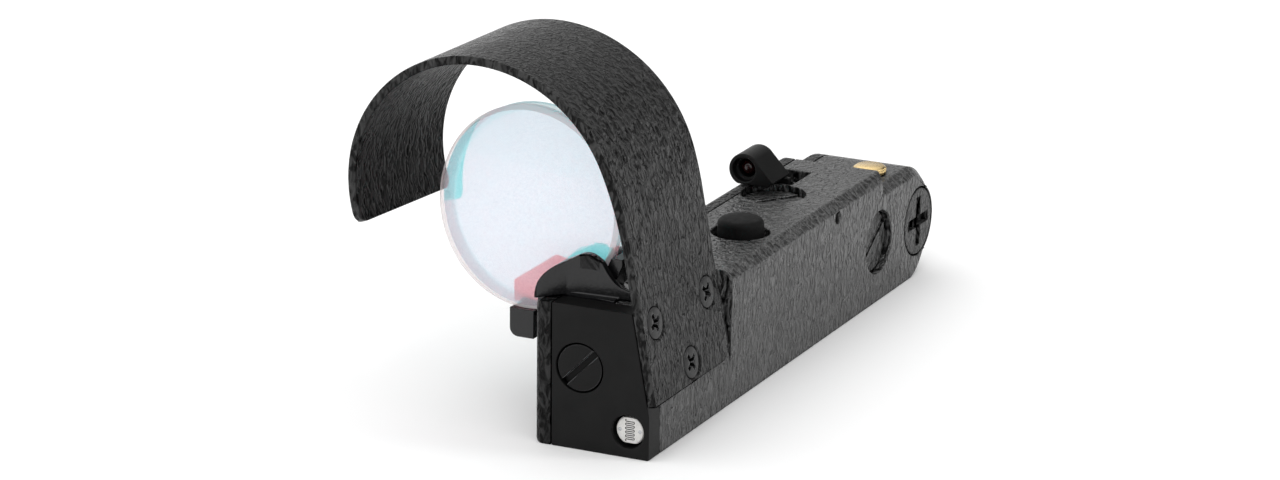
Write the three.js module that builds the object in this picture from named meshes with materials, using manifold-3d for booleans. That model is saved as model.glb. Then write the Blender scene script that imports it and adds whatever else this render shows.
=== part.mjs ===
// Red dot finder: a slim housing with a reflecting lens overhanging its left side, a bent hood
// over the lens, and an emitter arm that two adjusting screws move.
// Millimetres, +Z up. The lens end faces -Y, the hood's screws are on the +X side.
// The origin is the middle of the housing's flat underside.
import * as THREE from "three";
import { mergeVertices } from "three/addons/utils/BufferGeometryUtils.js";
import Module from "manifold-3d";

const wasm = await Module();
wasm.setup();

// ---- Driving dimensions ----
const GAP = 0.1; // play between fixed pieces
const RUN = 0.25; // play around turning pieces
const FINE = 28; // sides of a large circle
const COARSE = 14; // sides of a small circle

const WIDTH = 20.3; // over the side plate
const RIGHT = WIDTH / 2;
const LEFT = -RIGHT;
const PLATE = 3.0; // side plate thickness
const SEAM = LEFT + PLATE;

const FRONT = -58; // front face
const REAR = 58.6; // rearmost point
const TOP = 22.8;
const FRONT_TOP = 24; // raised land that carries the lens
const LAND_END = -39.2; // where the raised land stops
const REAR_TOP = 20.2; // lowered rear deck
const STEP = 37.1; // where the deck starts
const CHAMFER = 1.55; // top right edge
const FRONT_PLATE = 4.1; // front plate thickness
const CASE_FRONT = FRONT + FRONT_PLATE + GAP;

// Hood: a strip whose outside runs up the right side, over the lens and down.
// It is a little wider at its front edge than at its rear edge.
const HOOD_WIDTH = 28;
const HOOD_THICK = 1.45;
const HOOD_FOOT = [11.4, 9.1]; // outer corner at the strip's lower end, X and Z
const HOOD_LEAN = 10.6; // degrees that the pad leans inwards
// Straight length from the foot, then the outer radius and angle of each bend, at both edges.
const HOOD_FRONT = { run: 25.1, bends: [[60.6, 13.2], [25.6, 67.3], [22.9, 108.5]] };
const HOOD_BACK = { run: 28.7, bends: [[64.5, 5.8], [25.6, 69.6], [22.8, 116]] };
const BEND_STEPS = [2, 9, 14]; // straight pieces that each bend is drawn with
const PAD_END = -27; // rear wall of the pad's recess in the housing

// Lens: a thick disc, its front face turned a little up and to the left.
const LENS_AT = [-15.8, -49.5, 36.0]; // centre of the front face
const LENS_R = 16.6;
const LENS_THICK = 4.6;
const FRONT_SHARE = 0.42; // share of the thickness in the front element
const LENS_PITCH = -4.2;
const LENS_YAW = -3.1;

// Controls
const TRIMMER = { x: -2.1, z: 13.7, r: 4.15 };
const SENSOR = { x: 6.45, z: 4.35, r: 2.7 };
const BUTTON = { x: 2.2, y: -6.4, r: 4.95 };
const ELEVATION = { x: -1.95, y: 16.1, r: 5.55 };
const WINDAGE = { y: 34.3, z: 10.8, r: 5.6 };
const CAP = { y: 52, z: 9.8, r: 6.2 };
const SCREW = { x: 4.55, y: 42.8, r: 2.88 };
const ARM = { x: -7.95, z: 25.9, r: 2.85, y0: 17, y1: 24 };
const SLOT = { x0: -6.3, x1: -1.25, y0: 22.3, y1: 30.6 };

// ---- Materials ----
const steel = (name, color, roughness, metalness) =>
  Object.assign(new THREE.MeshStandardMaterial({ color, roughness, metalness }), { name });
const wrinkle = () => steel("wrinkle_paint", 0x1b1b1c, 0.62, 0.1);
const satin = () => steel("satin_black", 0x131314, 0.42, 0.2);
const gloss = () => steel("gloss_black", 0x0b0b0c, 0.18, 0.1);
const screwBlack = () => steel("black_screw", 0x161616, 0.35, 0.6);
const plain = () => steel("plain_steel", 0xb4b6ba, 0.35, 0.9);
const brass = () => steel("brass", 0xc9963e, 0.3, 1);
const rubber = () => steel("rubber", 0x0e0e0e, 0.85, 0);
const board = () => steel("board", 0x1f5a34, 0.5, 0);
const ceramic = () => steel("ceramic", 0xe4e2dc, 0.5, 0);
const glass = () =>
  Object.assign(steel("coated_glass", 0xdfe8f6, 0.03, 0), { transparent: true, opacity: 0.35 });
const emitter = () => steel("emitter", 0x5a1210, 0.1, 0);

// ---- Booleans ----
function solid(geometry) {
  const g = geometry.clone();
  g.deleteAttribute("normal");
  g.deleteAttribute("uv");
  const merged = mergeVertices(g, 1e-4);
  return new wasm.Manifold(
    new wasm.Mesh({
      numProp: 3,
      vertProperties: new Float32Array(merged.attributes.position.array),
      triVerts: new Uint32Array(merged.index.array),
    }),
  );
}

const join = (...geometries) =>
  geometries.map(solid).reduce((all, one) => all.add(one));
const cut = (from, ...tools) =>
  tools.flat().reduce((left, tool) => left.subtract(solid(tool)), from);

function geometryOf(made) {
  const mesh = made.getMesh();
  const g = new THREE.BufferGeometry();
  g.setAttribute("position", new THREE.BufferAttribute(new Float32Array(mesh.vertProperties), 3));
  g.setIndex(new THREE.BufferAttribute(new Uint32Array(mesh.triVerts), 1));
  const flat = g.toNonIndexed();
  flat.computeVertexNormals();
  return flat;
}

// ---- Shapes along an axis ----
// A shape drawn in X, Y and raised along Z from z0 to z1.
function alongZ(shape, z0, z1) {
  const g = new THREE.ExtrudeGeometry(shape, { depth: z1 - z0, bevelEnabled: false, curveSegments: 7 });
  return g.translate(0, 0, z0);
}

// A shape drawn in Y, Z and run along X from x0 to x1.
function alongX(shape, x0, x1) {
  const turn = new THREE.Matrix4().set(0, 0, 1, 0, 1, 0, 0, 0, 0, 1, 0, 0, 0, 0, 0, 1);
  return alongZ(shape, x0, x1).applyMatrix4(turn);
}

// A shape drawn in X, Z and run along Y from y0 to y1.
function alongY(shape, y0, y1) {
  const turn = new THREE.Matrix4().set(1, 0, 0, 0, 0, 0, -1, 0, 0, 1, 0, 0, 0, 0, 0, 1);
  return alongZ(shape, -y1, -y0).applyMatrix4(turn);
}

function box(x0, x1, y0, y1, z0, z1) {
  const g = new THREE.BoxGeometry(x1 - x0, y1 - y0, z1 - z0);
  return g.translate((x0 + x1) / 2, (y0 + y1) / 2, (z0 + z1) / 2);
}

const AXES = {
  x: (g) => g.rotateZ(-Math.PI / 2),
  y: (g) => g,
  z: (g) => g.rotateX(Math.PI / 2),
};

// A cylinder from low to high along an axis; a and b are its place on the other two axes.
function rod(axis, a, b, r, low, high, sides = COARSE, rHigh = r) {
  const g = new THREE.CylinderGeometry(rHigh, r, high - low, sides);
  AXES[axis](g);
  const mid = (low + high) / 2;
  const at = { x: [mid, a, b], y: [a, mid, b], z: [a, b, mid] }[axis];
  return g.translate(...at);
}

// A ring of round section, its hole along an axis.
function ring(axis, x, y, z, major, minor) {
  const g = new THREE.TorusGeometry(major, minor, 6, 20);
  if (axis === "x") g.rotateY(Math.PI / 2);
  if (axis === "y") g.rotateX(Math.PI / 2);
  return g.translate(x, y, z);
}

// A coil spring along an axis, as one swept wire.
class Helix extends THREE.Curve {
  constructor(axis, centre, radius, low, high, turns) {
    super();
    Object.assign(this, { axis, centre, radius, low, high, turns });
  }
  getPoint(t) {
    const a = 2 * Math.PI * this.turns * t;
    const along = this.low + (this.high - this.low) * t;
    const u = this.radius * Math.cos(a);
    const v = this.radius * Math.sin(a);
    const [p, q] = this.centre;
    return this.axis === "z"
      ? new THREE.Vector3(p + u, q + v, along)
      : new THREE.Vector3(along, p + u, q + v);
  }
}

function coil(axis, centre, radius, wire, low, high, turns) {
  const section = new THREE.Shape().absarc(0, 0, wire / 2, 0, 2 * Math.PI);
  return new THREE.ExtrudeGeometry(section, {
    extrudePath: new Helix(axis, centre, radius, low + wire / 2, high - wire / 2, turns),
    steps: Math.round(turns * 12),
    curveSegments: 2,
  });
}

// ---- Outlines ----
function polygon(points) {
  const s = new THREE.Shape();
  points.forEach(([u, v], i) => (i ? s.lineTo(u, v) : s.moveTo(u, v)));
  return s;
}

// The housing's side view in Y, Z: flat bottom, round rear end, lowered deck, raised front land.
function sideOutline(front) {
  const r = REAR_TOP / 2;
  const s = new THREE.Shape();
  s.moveTo(front, 0);
  s.lineTo(REAR - r, 0);
  s.absarc(REAR - r, r, r, -Math.PI / 2, Math.PI / 2, false);
  s.lineTo(STEP, REAR_TOP);
  s.lineTo(STEP, TOP);
  s.lineTo(LAND_END, TOP);
  s.lineTo(LAND_END - 1, FRONT_TOP);
  s.lineTo(front, FRONT_TOP);
  return s;
}

// The side outline run along X with its edges cut back by a chamfer at both ends.
function chamferedSide(front, x0, x1, size, steps) {
  const g = new THREE.ExtrudeGeometry(sideOutline(front), {
    depth: x1 - x0 - 2 * size,
    bevelEnabled: true,
    bevelSize: size,
    bevelOffset: -size,
    bevelThickness: size,
    bevelSegments: steps,
    curveSegments: 10,
  });
  g.translate(0, 0, x0 + size);
  const turn = new THREE.Matrix4().set(0, 0, 1, 0, 1, 0, 0, 0, 0, 1, 0, 0, 0, 0, 0, 1);
  return g.applyMatrix4(turn);
}

const radians = (degrees) => (degrees * Math.PI) / 180;

// One edge of the hood's outside, offset inwards, as points in X, Z from its foot to its free end.
function hoodLine(edge, offset) {
  let [x, z] = HOOD_FOOT;
  let heading = radians(90 + HOOD_LEAN);
  const points = [];
  const put = (h) => points.push([x - offset * Math.sin(h), z + offset * Math.cos(h)]);
  put(heading);
  x += edge.run * Math.cos(heading);
  z += edge.run * Math.sin(heading);
  put(heading);
  edge.bends.forEach(([r, angle], k) => {
    const cx = x - r * Math.sin(heading);
    const cz = z + r * Math.cos(heading);
    for (let i = 1; i <= BEND_STEPS[k]; i++) {
      const turned = heading + radians((angle * i) / BEND_STEPS[k]);
      x = cx + r * Math.sin(turned);
      z = cz - r * Math.cos(turned);
      put(turned);
    }
    heading += radians(angle);
  });
  return points;
}

// X of the pad's face at a height, at a depth under the hood's outside.
const padX = (z, depth = 0) =>
  HOOD_FOOT[0] - (z - HOOD_FOOT[1]) * Math.tan(radians(HOOD_LEAN)) - depth / Math.cos(radians(HOOD_LEAN));

// A block that removes everything right of a plane that leans with the pad.
function leaningCut(depth, y0, y1) {
  const high = 40;
  const shape = polygon([
    [padX(0, depth), 0],
    [high, 0],
    [high, high],
    [padX(high, depth), high],
  ]);
  return alongY(shape, y0, y1);
}

// ---- Placing ----
// Turns a geometry made along Y at the origin into the lens's own place and tilt.
function atLens(g) {
  g.rotateX(radians(LENS_PITCH));
  g.rotateZ(radians(LENS_YAW));
  return g.translate(...LENS_AT);
}

// Turns a screw made along Z, head at the origin pointing up, to lie square on the hood's pad.
function onPad(g, y, z) {
  g.rotateY(Math.PI / 2 - radians(HOOD_LEAN));
  return g.translate(padX(z), y, z);
}

// ---- Fasteners ----
// A countersunk screw, head up at the origin, its shank going down.
function countersunk(headR, shankR, length) {
  const cone = headR - shankR;
  const points = [
    [0, -length],
    [shankR, -length],
    [shankR, -cone],
    [headR, 0],
    [0, 0],
  ].map(([r, z]) => new THREE.Vector2(r, z));
  return new THREE.LatheGeometry(points, COARSE).rotateX(Math.PI / 2);
}

// The cross recess cut into a screw's head.
function crossRecess(size, width, depth) {
  return [
    box(-size / 2, size / 2, -width / 2, width / 2, -depth, 1),
    box(-width / 2, width / 2, -size / 2, size / 2, -depth, 1),
  ];
}

function crossScrew(headR, shankR, length) {
  return cut(solid(countersunk(headR, shankR, length)), crossRecess(headR * 1.2, headR * 0.24, headR * 0.4));
}

// ---- Housing ----
const PAD_SCREWS = [
  [FRONT + 4.6, 21.6],
  [FRONT + 23.7, 21.3],
  [FRONT + 14.6, 12.3],
];
const PLATE_SCREWS = [
  [-45, 7.5],
  [9, 4.6],
  [9, 17.6],
  [43.2, 15.5],
];
const FRONT_PINS = [
  [-4.6, 4],
  [5, 10.6],
];
const HOLDER_SCREWS = [-4.6, -0.2];
const NOTCH = { x1: 2, y0: CASE_FRONT, y1: -39.5, z: 17.9 };
const BAY = { x1: 5.4, y0: -38, y1: 6.5, z0: 3, z1: 18 };
const WORKS = { x1: 7.4, y0: 11.6, y1: 40.2, z0: 2.4, z1: 18 };
const RECESS = 1.2; // how deep the adjusters' discs lie

const padScrewHoles = () =>
  PAD_SCREWS.map(([y, z]) => onPad(rod("z", 0, 0, 1.55, -6, 5, COARSE), y, z));

function housingOuter() {
  const chamfered = solid(chamferedSide(FRONT - 10, LEFT - 5, RIGHT, CHAMFER, 1));
  const keel = box(0, RIGHT, FRONT - 5, REAR - REAR_TOP / 2, 0, REAR_TOP / 2);
  const capBoss = rod("x", CAP.y, CAP.z, CAP.r + 0.3, 0, RIGHT, FINE);
  const whole = solid(alongX(sideOutline(FRONT - 10), SEAM + GAP, RIGHT));
  return chamfered.add(solid(keel)).add(solid(capBoss)).intersect(whole);
}

function housing() {
  const bay = box(SEAM - 1, BAY.x1, BAY.y0, BAY.y1, BAY.z0, BAY.z1);
  const works = box(SEAM - 1, WORKS.x1, WORKS.y0, WORKS.y1, WORKS.z0, WORKS.z1);
  const notch = box(SEAM - 1, NOTCH.x1, FRONT - 20, NOTCH.y1, NOTCH.z, 40);
  const tools = [
    box(-40, 40, FRONT - 20, CASE_FRONT, -5, 60),
    leaningCut(HOOD_THICK + GAP, FRONT - 20, PAD_END),
    bay,
    works,
    notch,
    rod("y", TRIMMER.x, TRIMMER.z, 3.4, FRONT, -48.8, COARSE),
    rod("y", SENSOR.x, SENSOR.z, 2, FRONT, BAY.y0 + 1, COARSE),
    rod("z", BUTTON.x, BUTTON.y, BUTTON.r, 21, 30, FINE),
    rod("z", BUTTON.x, BUTTON.y, 2.9, 15, 30, COARSE),
    rod("z", ELEVATION.x, ELEVATION.y, ELEVATION.r, 19, 30, FINE),
    rod("z", ELEVATION.x, ELEVATION.y, 1.5 + RUN, 15, 30, COARSE),
    rod("x", WINDAGE.y, WINDAGE.z, WINDAGE.r, RIGHT - 2.2, 20, FINE),
    rod("x", WINDAGE.y, WINDAGE.z, 1.5 + RUN, 5, 20, COARSE),
    rod("x", ELEVATION.y, 20.2, 1.05, 0, 20, COARSE),
    box(SLOT.x0, SLOT.x1, SLOT.y0, SLOT.y1, 15, 30),
    rod("x", CAP.y, CAP.z, CAP.r, RIGHT - 2.2, 20, FINE),
    rod("x", CAP.y, CAP.z, 5.95, SEAM - 1, 20, FINE),
    box(SEAM - 1, -5.6, BAY.y1 - 1, CAP.y, CAP.z - 1.6, CAP.z + 1.6),
    rod("z", SCREW.x, SCREW.y, 1.5 + RUN, -5, 30, COARSE),
    ...PLATE_SCREWS.map(([y, z]) => rod("x", y, z, 1.25, SEAM - 1, SEAM + 5.6, COARSE)),
    ...FRONT_PINS.map(([x, z]) => rod("y", x, z, 1.05, FRONT, CASE_FRONT + 3.6, COARSE)),
    ...HOLDER_SCREWS.map((x) => rod("z", x, -41.8, 1.05, 10, 30, COARSE)),
    ...padScrewHoles(),
  ];
  return cut(housingOuter(), tools);
}

function sidePlate() {
  const rounded = solid(chamferedSide(FRONT, LEFT, RIGHT, 1.2, 2));
  const keep = solid(box(LEFT - 1, SEAM - GAP / 2, -80, 80, -5, 60));
  const notch = box(LEFT - 1, 40, CASE_FRONT - GAP, NOTCH.y1, NOTCH.z, 60);
  const screws = PLATE_SCREWS.flatMap(([y, z]) => [
    countersunk(2.5, 1.35, 30).rotateY(-Math.PI / 2).translate(LEFT + 0.15, y, z),
    rod("x", y, z, 2.5, LEFT - 5, LEFT + 0.16, COARSE),
  ]);
  const recess = rod("z", ELEVATION.x, ELEVATION.y, ELEVATION.r, 19, 30, FINE);
  return cut(rounded.intersect(keep), notch, recess, screws);
}

function frontPlate() {
  const outline = polygon([
    [SEAM + GAP, 0],
    [RIGHT, 0],
    [RIGHT, HOOD_FOOT[1] - 1],
    [RIGHT, 40],
    [SEAM + GAP, 40],
  ]);
  const blank = solid(alongY(outline, FRONT, FRONT + FRONT_PLATE));
  return cut(blank, [
    box(-40, 40, -80, 0, FRONT_TOP, 60),
    leaningCut(HOOD_THICK + GAP, FRONT - 1, 0),
    rod("y", TRIMMER.x, TRIMMER.z, TRIMMER.r, FRONT - 1, FRONT + 2.6, FINE),
    rod("y", TRIMMER.x, TRIMMER.z, 1.5, FRONT - 1, FRONT + 9, COARSE),
    rod("y", SENSOR.x, SENSOR.z, SENSOR.r, FRONT - 1, FRONT + 3, FINE),
    rod("y", SENSOR.x, SENSOR.z, 2, FRONT - 1, FRONT + 9, COARSE),
    ...FRONT_PINS.map(([x, z]) => rod("y", x, z, 1.05, FRONT + 1.6, 0, COARSE)),
    ...padScrewHoles(),
  ]);
}

// ---- Hood ----
// The strip between the front and the back edge, four corners at each station along it.
function hoodStrip() {
  const rear = FRONT + HOOD_WIDTH;
  const corners = [
    [hoodLine(HOOD_FRONT, 0), FRONT],
    [hoodLine(HOOD_BACK, 0), rear],
    [hoodLine(HOOD_BACK, HOOD_THICK), rear],
    [hoodLine(HOOD_FRONT, HOOD_THICK), FRONT],
  ];
  const stations = corners[0][0].length;
  const positions = [];
  const faces = [];
  for (let i = 0; i < stations; i++) {
    corners.forEach(([line, y]) => positions.push(line[i][0], y, line[i][1]));
  }
  for (let i = 0; i + 1 < stations; i++) {
    for (let k = 0; k < 4; k++) {
      const [a, b] = [4 * i + k, 4 * i + ((k + 1) % 4)];
      faces.push(a, b, b + 4, a, b + 4, a + 4);
    }
  }
  const last = 4 * (stations - 1);
  faces.push(0, 2, 1, 0, 3, 2, last, last + 1, last + 2, last, last + 2, last + 3);
  const g = new THREE.BufferGeometry();
  g.setAttribute("position", new THREE.Float32BufferAttribute(positions, 3));
  return g.setIndex(faces);
}

function hood() {
  const holes = PAD_SCREWS.flatMap(([y, z]) => [
    onPad(countersunk(2.85, 1.7, 10), y, z),
    onPad(rod("z", 0, 0, 2.85, -0.01, 3, COARSE), y, z),
  ]);
  const corner = 2; // radius of the strip's free corners
  const rounding = [
    freeCorner(HOOD_FRONT, FRONT, 1, corner),
    freeCorner(HOOD_BACK, FRONT + HOOD_WIDTH, -1, corner),
  ];
  return cut(solid(hoodStrip()), holes, rounding);
}

// What the rounded corner at the hood's free end removes, on the edge at y.
function freeCorner(edge, y, way, r) {
  const [x, z] = hoodLine(edge, HOOD_THICK / 2).at(-1);
  const heading = radians(90 + HOOD_LEAN + edge.bends.reduce((sum, [, angle]) => sum + angle, 0));
  const s = new THREE.Shape();
  s.moveTo(-1, -1);
  s.lineTo(r, -1);
  s.lineTo(r, 0);
  s.absarc(r, r, r, -Math.PI / 2, Math.PI, true);
  s.lineTo(-1, r);
  const g = new THREE.ExtrudeGeometry(s, { depth: 6, bevelEnabled: false, curveSegments: 6 });
  g.translate(0, 0, -3);
  // u runs into the strip across its width, v back along the strip, w through its thickness.
  const back = [-Math.cos(heading), -Math.sin(heading)];
  const side = [back[1] * way, -back[0] * way];
  const place = new THREE.Matrix4().set(0, back[0], side[0], x, way, 0, 0, y, 0, back[1], side[1], z, 0, 0, 0, 1);
  return g.applyMatrix4(place);
}

// ---- Lens and its holder ----
function lensElements() {
  const split = LENS_THICK * FRONT_SHARE;
  const bevel = 0.35;
  const disc = (low, high, lowR, highR) => {
    const points = [
      [0, low],
      [lowR, low],
      [LENS_R, low + LENS_R - lowR],
      [LENS_R, high - LENS_R + highR],
      [highR, high],
      [0, high],
    ];
    return atLens(new THREE.LatheGeometry(points.map(([r, y]) => new THREE.Vector2(r, y)), 48));
  };
  return {
    front: disc(0, split - 0.02, LENS_R - bevel, LENS_R - 0.05),
    rear: disc(split + 0.02, LENS_THICK, LENS_R - 0.05, LENS_R - bevel),
  };
}

// The room that the lens needs, with play all round.
function lensRoom(play, frontPlay) {
  const g = new THREE.CylinderGeometry(LENS_R + play, LENS_R + play, LENS_THICK + play + frontPlay, 48);
  return atLens(g.translate(0, (LENS_THICK + play - frontPlay) / 2, 0));
}

function lensHolder() {
  const front = -50.9;
  const rear = NOTCH.y1 - GAP;
  const saddle = box(LEFT - 0.2, NOTCH.x1 - GAP, front, rear, NOTCH.z + GAP, FRONT_TOP);
  const arm = rod("y", LENS_AT[0], LENS_AT[2], LENS_R + 2.4, front, -44.2, 48);
  const armKeep = box(-7, NOTCH.x1 - GAP, front - 1, rear, NOTCH.z + GAP, 30.2);
  const block = box(-18.2, -13.8, front, -43.4, 14.6, 20.4);
  const bridge = box(-14, LEFT - 0.15, -46.2, -43.4, 16.9, 20.4);
  const cradle = box(-20.6, -13.9, -44.6, -29.6, 18.4, 22);
  const corner = rod("y", -16.7, 16.1, 1.5, front - 1, 0, COARSE);
  const cornerBox = box(-19, -16.7, front - 1, 0, 14, 16.1);
  const rounded = solid(block).subtract(solid(cornerBox).subtract(solid(corner)));
  const inner = solid(rod("y", LENS_AT[0], LENS_AT[2], LENS_R - 2, front - 1, 0, 48));
  const made = join(saddle, bridge, cradle).add(rounded).add(solid(arm).intersect(solid(armKeep)));
  const screwRoom = HOLDER_SCREWS.flatMap((x) => [
    countersunk(1.9, 1.15, 20).translate(x, -41.8, FRONT_TOP - 0.1),
    rod("z", x, -41.8, 1.9, FRONT_TOP - 0.11, 30, COARSE),
  ]);
  return cut(made, lensRoom(0.12, 6), screwRoom).subtract(inner);
}

// The clamp: a curved finger over the front left corner, thinner towards the right.
function lensClamp() {
  const low = FRONT_TOP + GAP;
  const finger = new THREE.Shape();
  finger.moveTo(-10.2, low);
  finger.lineTo(-10.2, 25.2);
  finger.quadraticCurveTo(-9.2, 27.3, -6.7, 29.0);
  finger.lineTo(-4.7, 30.5);
  finger.quadraticCurveTo(-3.0, 31.6, -0.8, 29.8);
  finger.quadraticCurveTo(0.9, 26.6, 2.6, 26.0);
  finger.lineTo(5.4, 25.2);
  finger.lineTo(5.4, low);
  const slant = polygon([
    [-10.6, -58.3],
    [-6.6, -54],
    [-4.6, -52.9],
    [6, -52.2],
    [6, -60],
    [-10.6, -60],
  ]);
  const body = solid(alongY(finger, FRONT + 0.3, -51.3)).subtract(solid(alongZ(slant, 20, 40)));
  const tongue = box(-9.8, NOTCH.x1 - GAP, CASE_FRONT + 0.1, -51.3, 18.2, low + 0.2);
  const tail = box(-11.8, -9.7, CASE_FRONT + 0.1, -51.3, 18.2, 24.8);
  const window = box(-4.4, -1.5, -55, -52.2, 28.8, 30.6);
  return cut(body.add(solid(tongue)).add(solid(tail)), lensRoom(0.12, 0.12), window);
}

// ---- Front controls ----
function slottedDisc(r, thick, slotWidth, slotDepth, shankR, shankLength) {
  const body = join(
    rod("z", 0, 0, r, -thick, 0, FINE),
    rod("z", 0, 0, shankR, -thick - shankLength, -thick / 2, COARSE),
  );
  return cut(body, box(-r - 1, r + 1, -slotWidth / 2, slotWidth / 2, -slotDepth, 1));
}

const placed = (made, ...moves) => moves.reduce((g, move) => move(g), geometryOf(made));

function trimmerDisc() {
  return placed(
    slottedDisc(TRIMMER.r - RUN, 2.2, 1.4, 1.0, 1.25, 4.2),
    (g) => g.rotateZ(radians(45)),
    (g) => g.rotateX(Math.PI / 2),
    (g) => g.translate(TRIMMER.x, FRONT + 0.15, TRIMMER.z),
  );
}

function trimmerBody() {
  const can = solid(rod("y", TRIMMER.x, TRIMMER.z, 3.2, CASE_FRONT + 0.1, -49));
  return cut(can, rod("y", TRIMMER.x, TRIMMER.z, 1.5, FRONT, -50.6));
}

function photoresistor() {
  const disc = rod("y", SENSOR.x, SENSOR.z, 2.5, FRONT + 0.9, FRONT + 2.9, FINE);
  const leads = [-1.2, 1.2].map((dx) => rod("y", SENSOR.x + dx, SENSOR.z, 0.25, FRONT + 2.5, -40, 8));
  return join(disc, ...leads);
}

// ---- Button and electronics ----
const BOARD_TOP = 11.2;

function button() {
  const r = 3.9;
  const crown = [];
  for (let i = 0; i <= 8; i++) {
    const a = (i / 8) * (Math.PI / 2);
    crown.push([r - 1.0 + 1.0 * Math.cos(a), 24.2 + 0.9 * Math.sin(a)]);
  }
  const points = [[0, 16.4], [2.4, 16.4], [2.4, 21.9], [r, 21.9], ...crown, [0, 25.3]];
  const profile = points.map(([u, v]) => new THREE.Vector2(u, v));
  return new THREE.LatheGeometry(profile, FINE).rotateX(Math.PI / 2).translate(BUTTON.x, BUTTON.y, 0);
}

function switchBody() {
  const half = 3;
  const low = BOARD_TOP + 0.05;
  const body = solid(box(BUTTON.x - half, BUTTON.x + half, BUTTON.y - half, BUTTON.y + half, low, low + 3.6));
  return cut(body, rod("z", BUTTON.x, BUTTON.y, 1.75 + RUN, low + 1.6, 30));
}

function circuitBoard() {
  const shape = box(SEAM + 0.5, BAY.x1 - 0.3, BAY.y0 + 1, BAY.y1 - 0.5, BOARD_TOP - 1, BOARD_TOP);
  const parts = [
    box(-4, 0, -24, -19, BOARD_TOP - 0.2, BOARD_TOP + 1.4),
    box(-3.5, -1.5, -33, -30, BOARD_TOP - 0.2, BOARD_TOP + 1.2),
    box(1, 3, -31, -28, BOARD_TOP - 0.2, BOARD_TOP + 1.0),
  ];
  return join(shape, ...parts);
}

// ---- Adjusters ----
function elevationScrew() {
  return placed(
    slottedDisc(ELEVATION.r - RUN, 2.3, 1.3, 0.9, 1.5, 10),
    (g) => g.rotateZ(radians(54)),
    (g) => g.translate(ELEVATION.x, ELEVATION.y, TOP - RECESS + 0.1),
  );
}

function windageScrew() {
  return placed(
    slottedDisc(WINDAGE.r - RUN, 0.8, 1.3, 0.5, 1.5, 11.5),
    (g) => g.rotateZ(radians(-58)),
    (g) => g.rotateY(Math.PI / 2),
    (g) => g.translate(RIGHT - RECESS, WINDAGE.y, WINDAGE.z),
  );
}

const TRAY = { x0: -6.3, x1: 6, y0: 12.6, y1: 39.9, z0: 5.4, z1: 8.2 };
const GUIDES = [
  [3.6, 14.6],
  [-4.4, 38.4],
];
const PIN_R = 0.8;

function elevationSlide() {
  const floor = box(TRAY.x0, TRAY.x1, TRAY.y0, TRAY.y1, TRAY.z0, TRAY.z1);
  const boss = box(-5.6, 2, TRAY.y0, 19.4, TRAY.z0, 14.6);
  const made = join(floor, boss);
  const pins = GUIDES.map(([x, y]) => rod("z", x, y, PIN_R + 0.15, 0, 30));
  return cut(made, rod("z", ELEVATION.x, ELEVATION.y, 1.5 + RUN, 0, 30), pins);
}

function windageSlide() {
  const block = solid(box(-4.2, 4.4, 20.4, 36.2, TRAY.z1 + 0.15, 14.4));
  return cut(block, [
    rod("x", WINDAGE.y, WINDAGE.z, 1.5 + 0.8, -20, 20),
    box(-40, -3.2, 33, 50, 0, 40),
  ]);
}

function emitterArm() {
  const tilt = radians(43); // direction, from +X, of the normal to the arm's slanting side
  const low = TOP + 0.5;
  const edge = (z) => ARM.x + (ARM.r - (z - ARM.z) * Math.sin(tilt)) / Math.cos(tilt);
  const s = new THREE.Shape();
  s.absarc(ARM.x, ARM.z, ARM.r, tilt, Math.PI * 1.36, false);
  s.lineTo(ARM.x, low);
  s.lineTo(edge(low), low);
  const head = alongY(s, ARM.y0, ARM.y1);
  const stem = box(-5.6, -2.1, SLOT.y0 + 0.65, ARM.y1 - 0.05, 15, low + 0.3);
  const foot = box(-5.6, -2.1, SLOT.y0 + 0.65, 28.5, 14.5, 19.5);
  return cut(join(head, stem, foot), [
    rod("y", ARM.x, ARM.z, 2.1, ARM.y0 - 1, ARM.y0 + 1.4, FINE),
    rod("y", ARM.x, ARM.z, 1.6, ARM.y0 - 1, ARM.y1 - 1, FINE),
  ]);
}

function led() {
  const tip = ARM.y0 + 1.2;
  const dome = [];
  for (let i = 0; i <= 6; i++) {
    const a = (i / 6) * (Math.PI / 2);
    dome.push(new THREE.Vector2(1.45 * Math.sin(a), tip + 1.45 - 1.45 * Math.cos(a)));
  }
  dome.push(new THREE.Vector2(1.45, ARM.y1 - 1.3), new THREE.Vector2(0, ARM.y1 - 1.3));
  return new THREE.LatheGeometry(dome, COARSE).translate(ARM.x, 0, ARM.z);
}

function lockScrew() {
  const body = solid(rod("x", ELEVATION.y, 20.2, 0.95, 3.8, 9.5));
  return cut(body, rod("x", ELEVATION.y, 20.2, 0.5, 8.6, 12, 6));
}

// ---- Battery ----
const CELL = 5.4;

function batteryCap() {
  const z0 = RIGHT - 2.0;
  const made = join(
    rod("x", CAP.y, CAP.z, CAP.r - 0.15, z0, RIGHT, FINE),
    rod("x", CAP.y, CAP.z, 4.9, z0 - 1.3, z0 + 0.5, FINE),
    rod("x", CAP.y, CAP.z, 5.7, z0 - 1.9, z0 - 1.1, FINE),
  );
  const long = 8.9;
  const wide = 1.9;
  return cut(made, [
    box(RIGHT - 1.2, 20, CAP.y - wide / 2, CAP.y + wide / 2, CAP.z - long / 2, CAP.z + long / 2),
    box(RIGHT - 1.2, 20, CAP.y - long / 2, CAP.y + long / 2, CAP.z - wide / 2, CAP.z + wide / 2),
  ]);
}

function batteryCell(low) {
  return join(
    rod("x", CAP.y, CAP.z, 5.75, low, low + CELL - 0.5, FINE),
    rod("x", CAP.y, CAP.z, 4.2, low, low + CELL - 0.1, FINE),
  );
}

function contactStrip() {
  const strip = box(SEAM + 0.2, SEAM + 0.5, BAY.y1, CAP.y - 3, CAP.z - 1.2, CAP.z + 1.2);
  return solid(strip);
}

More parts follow.
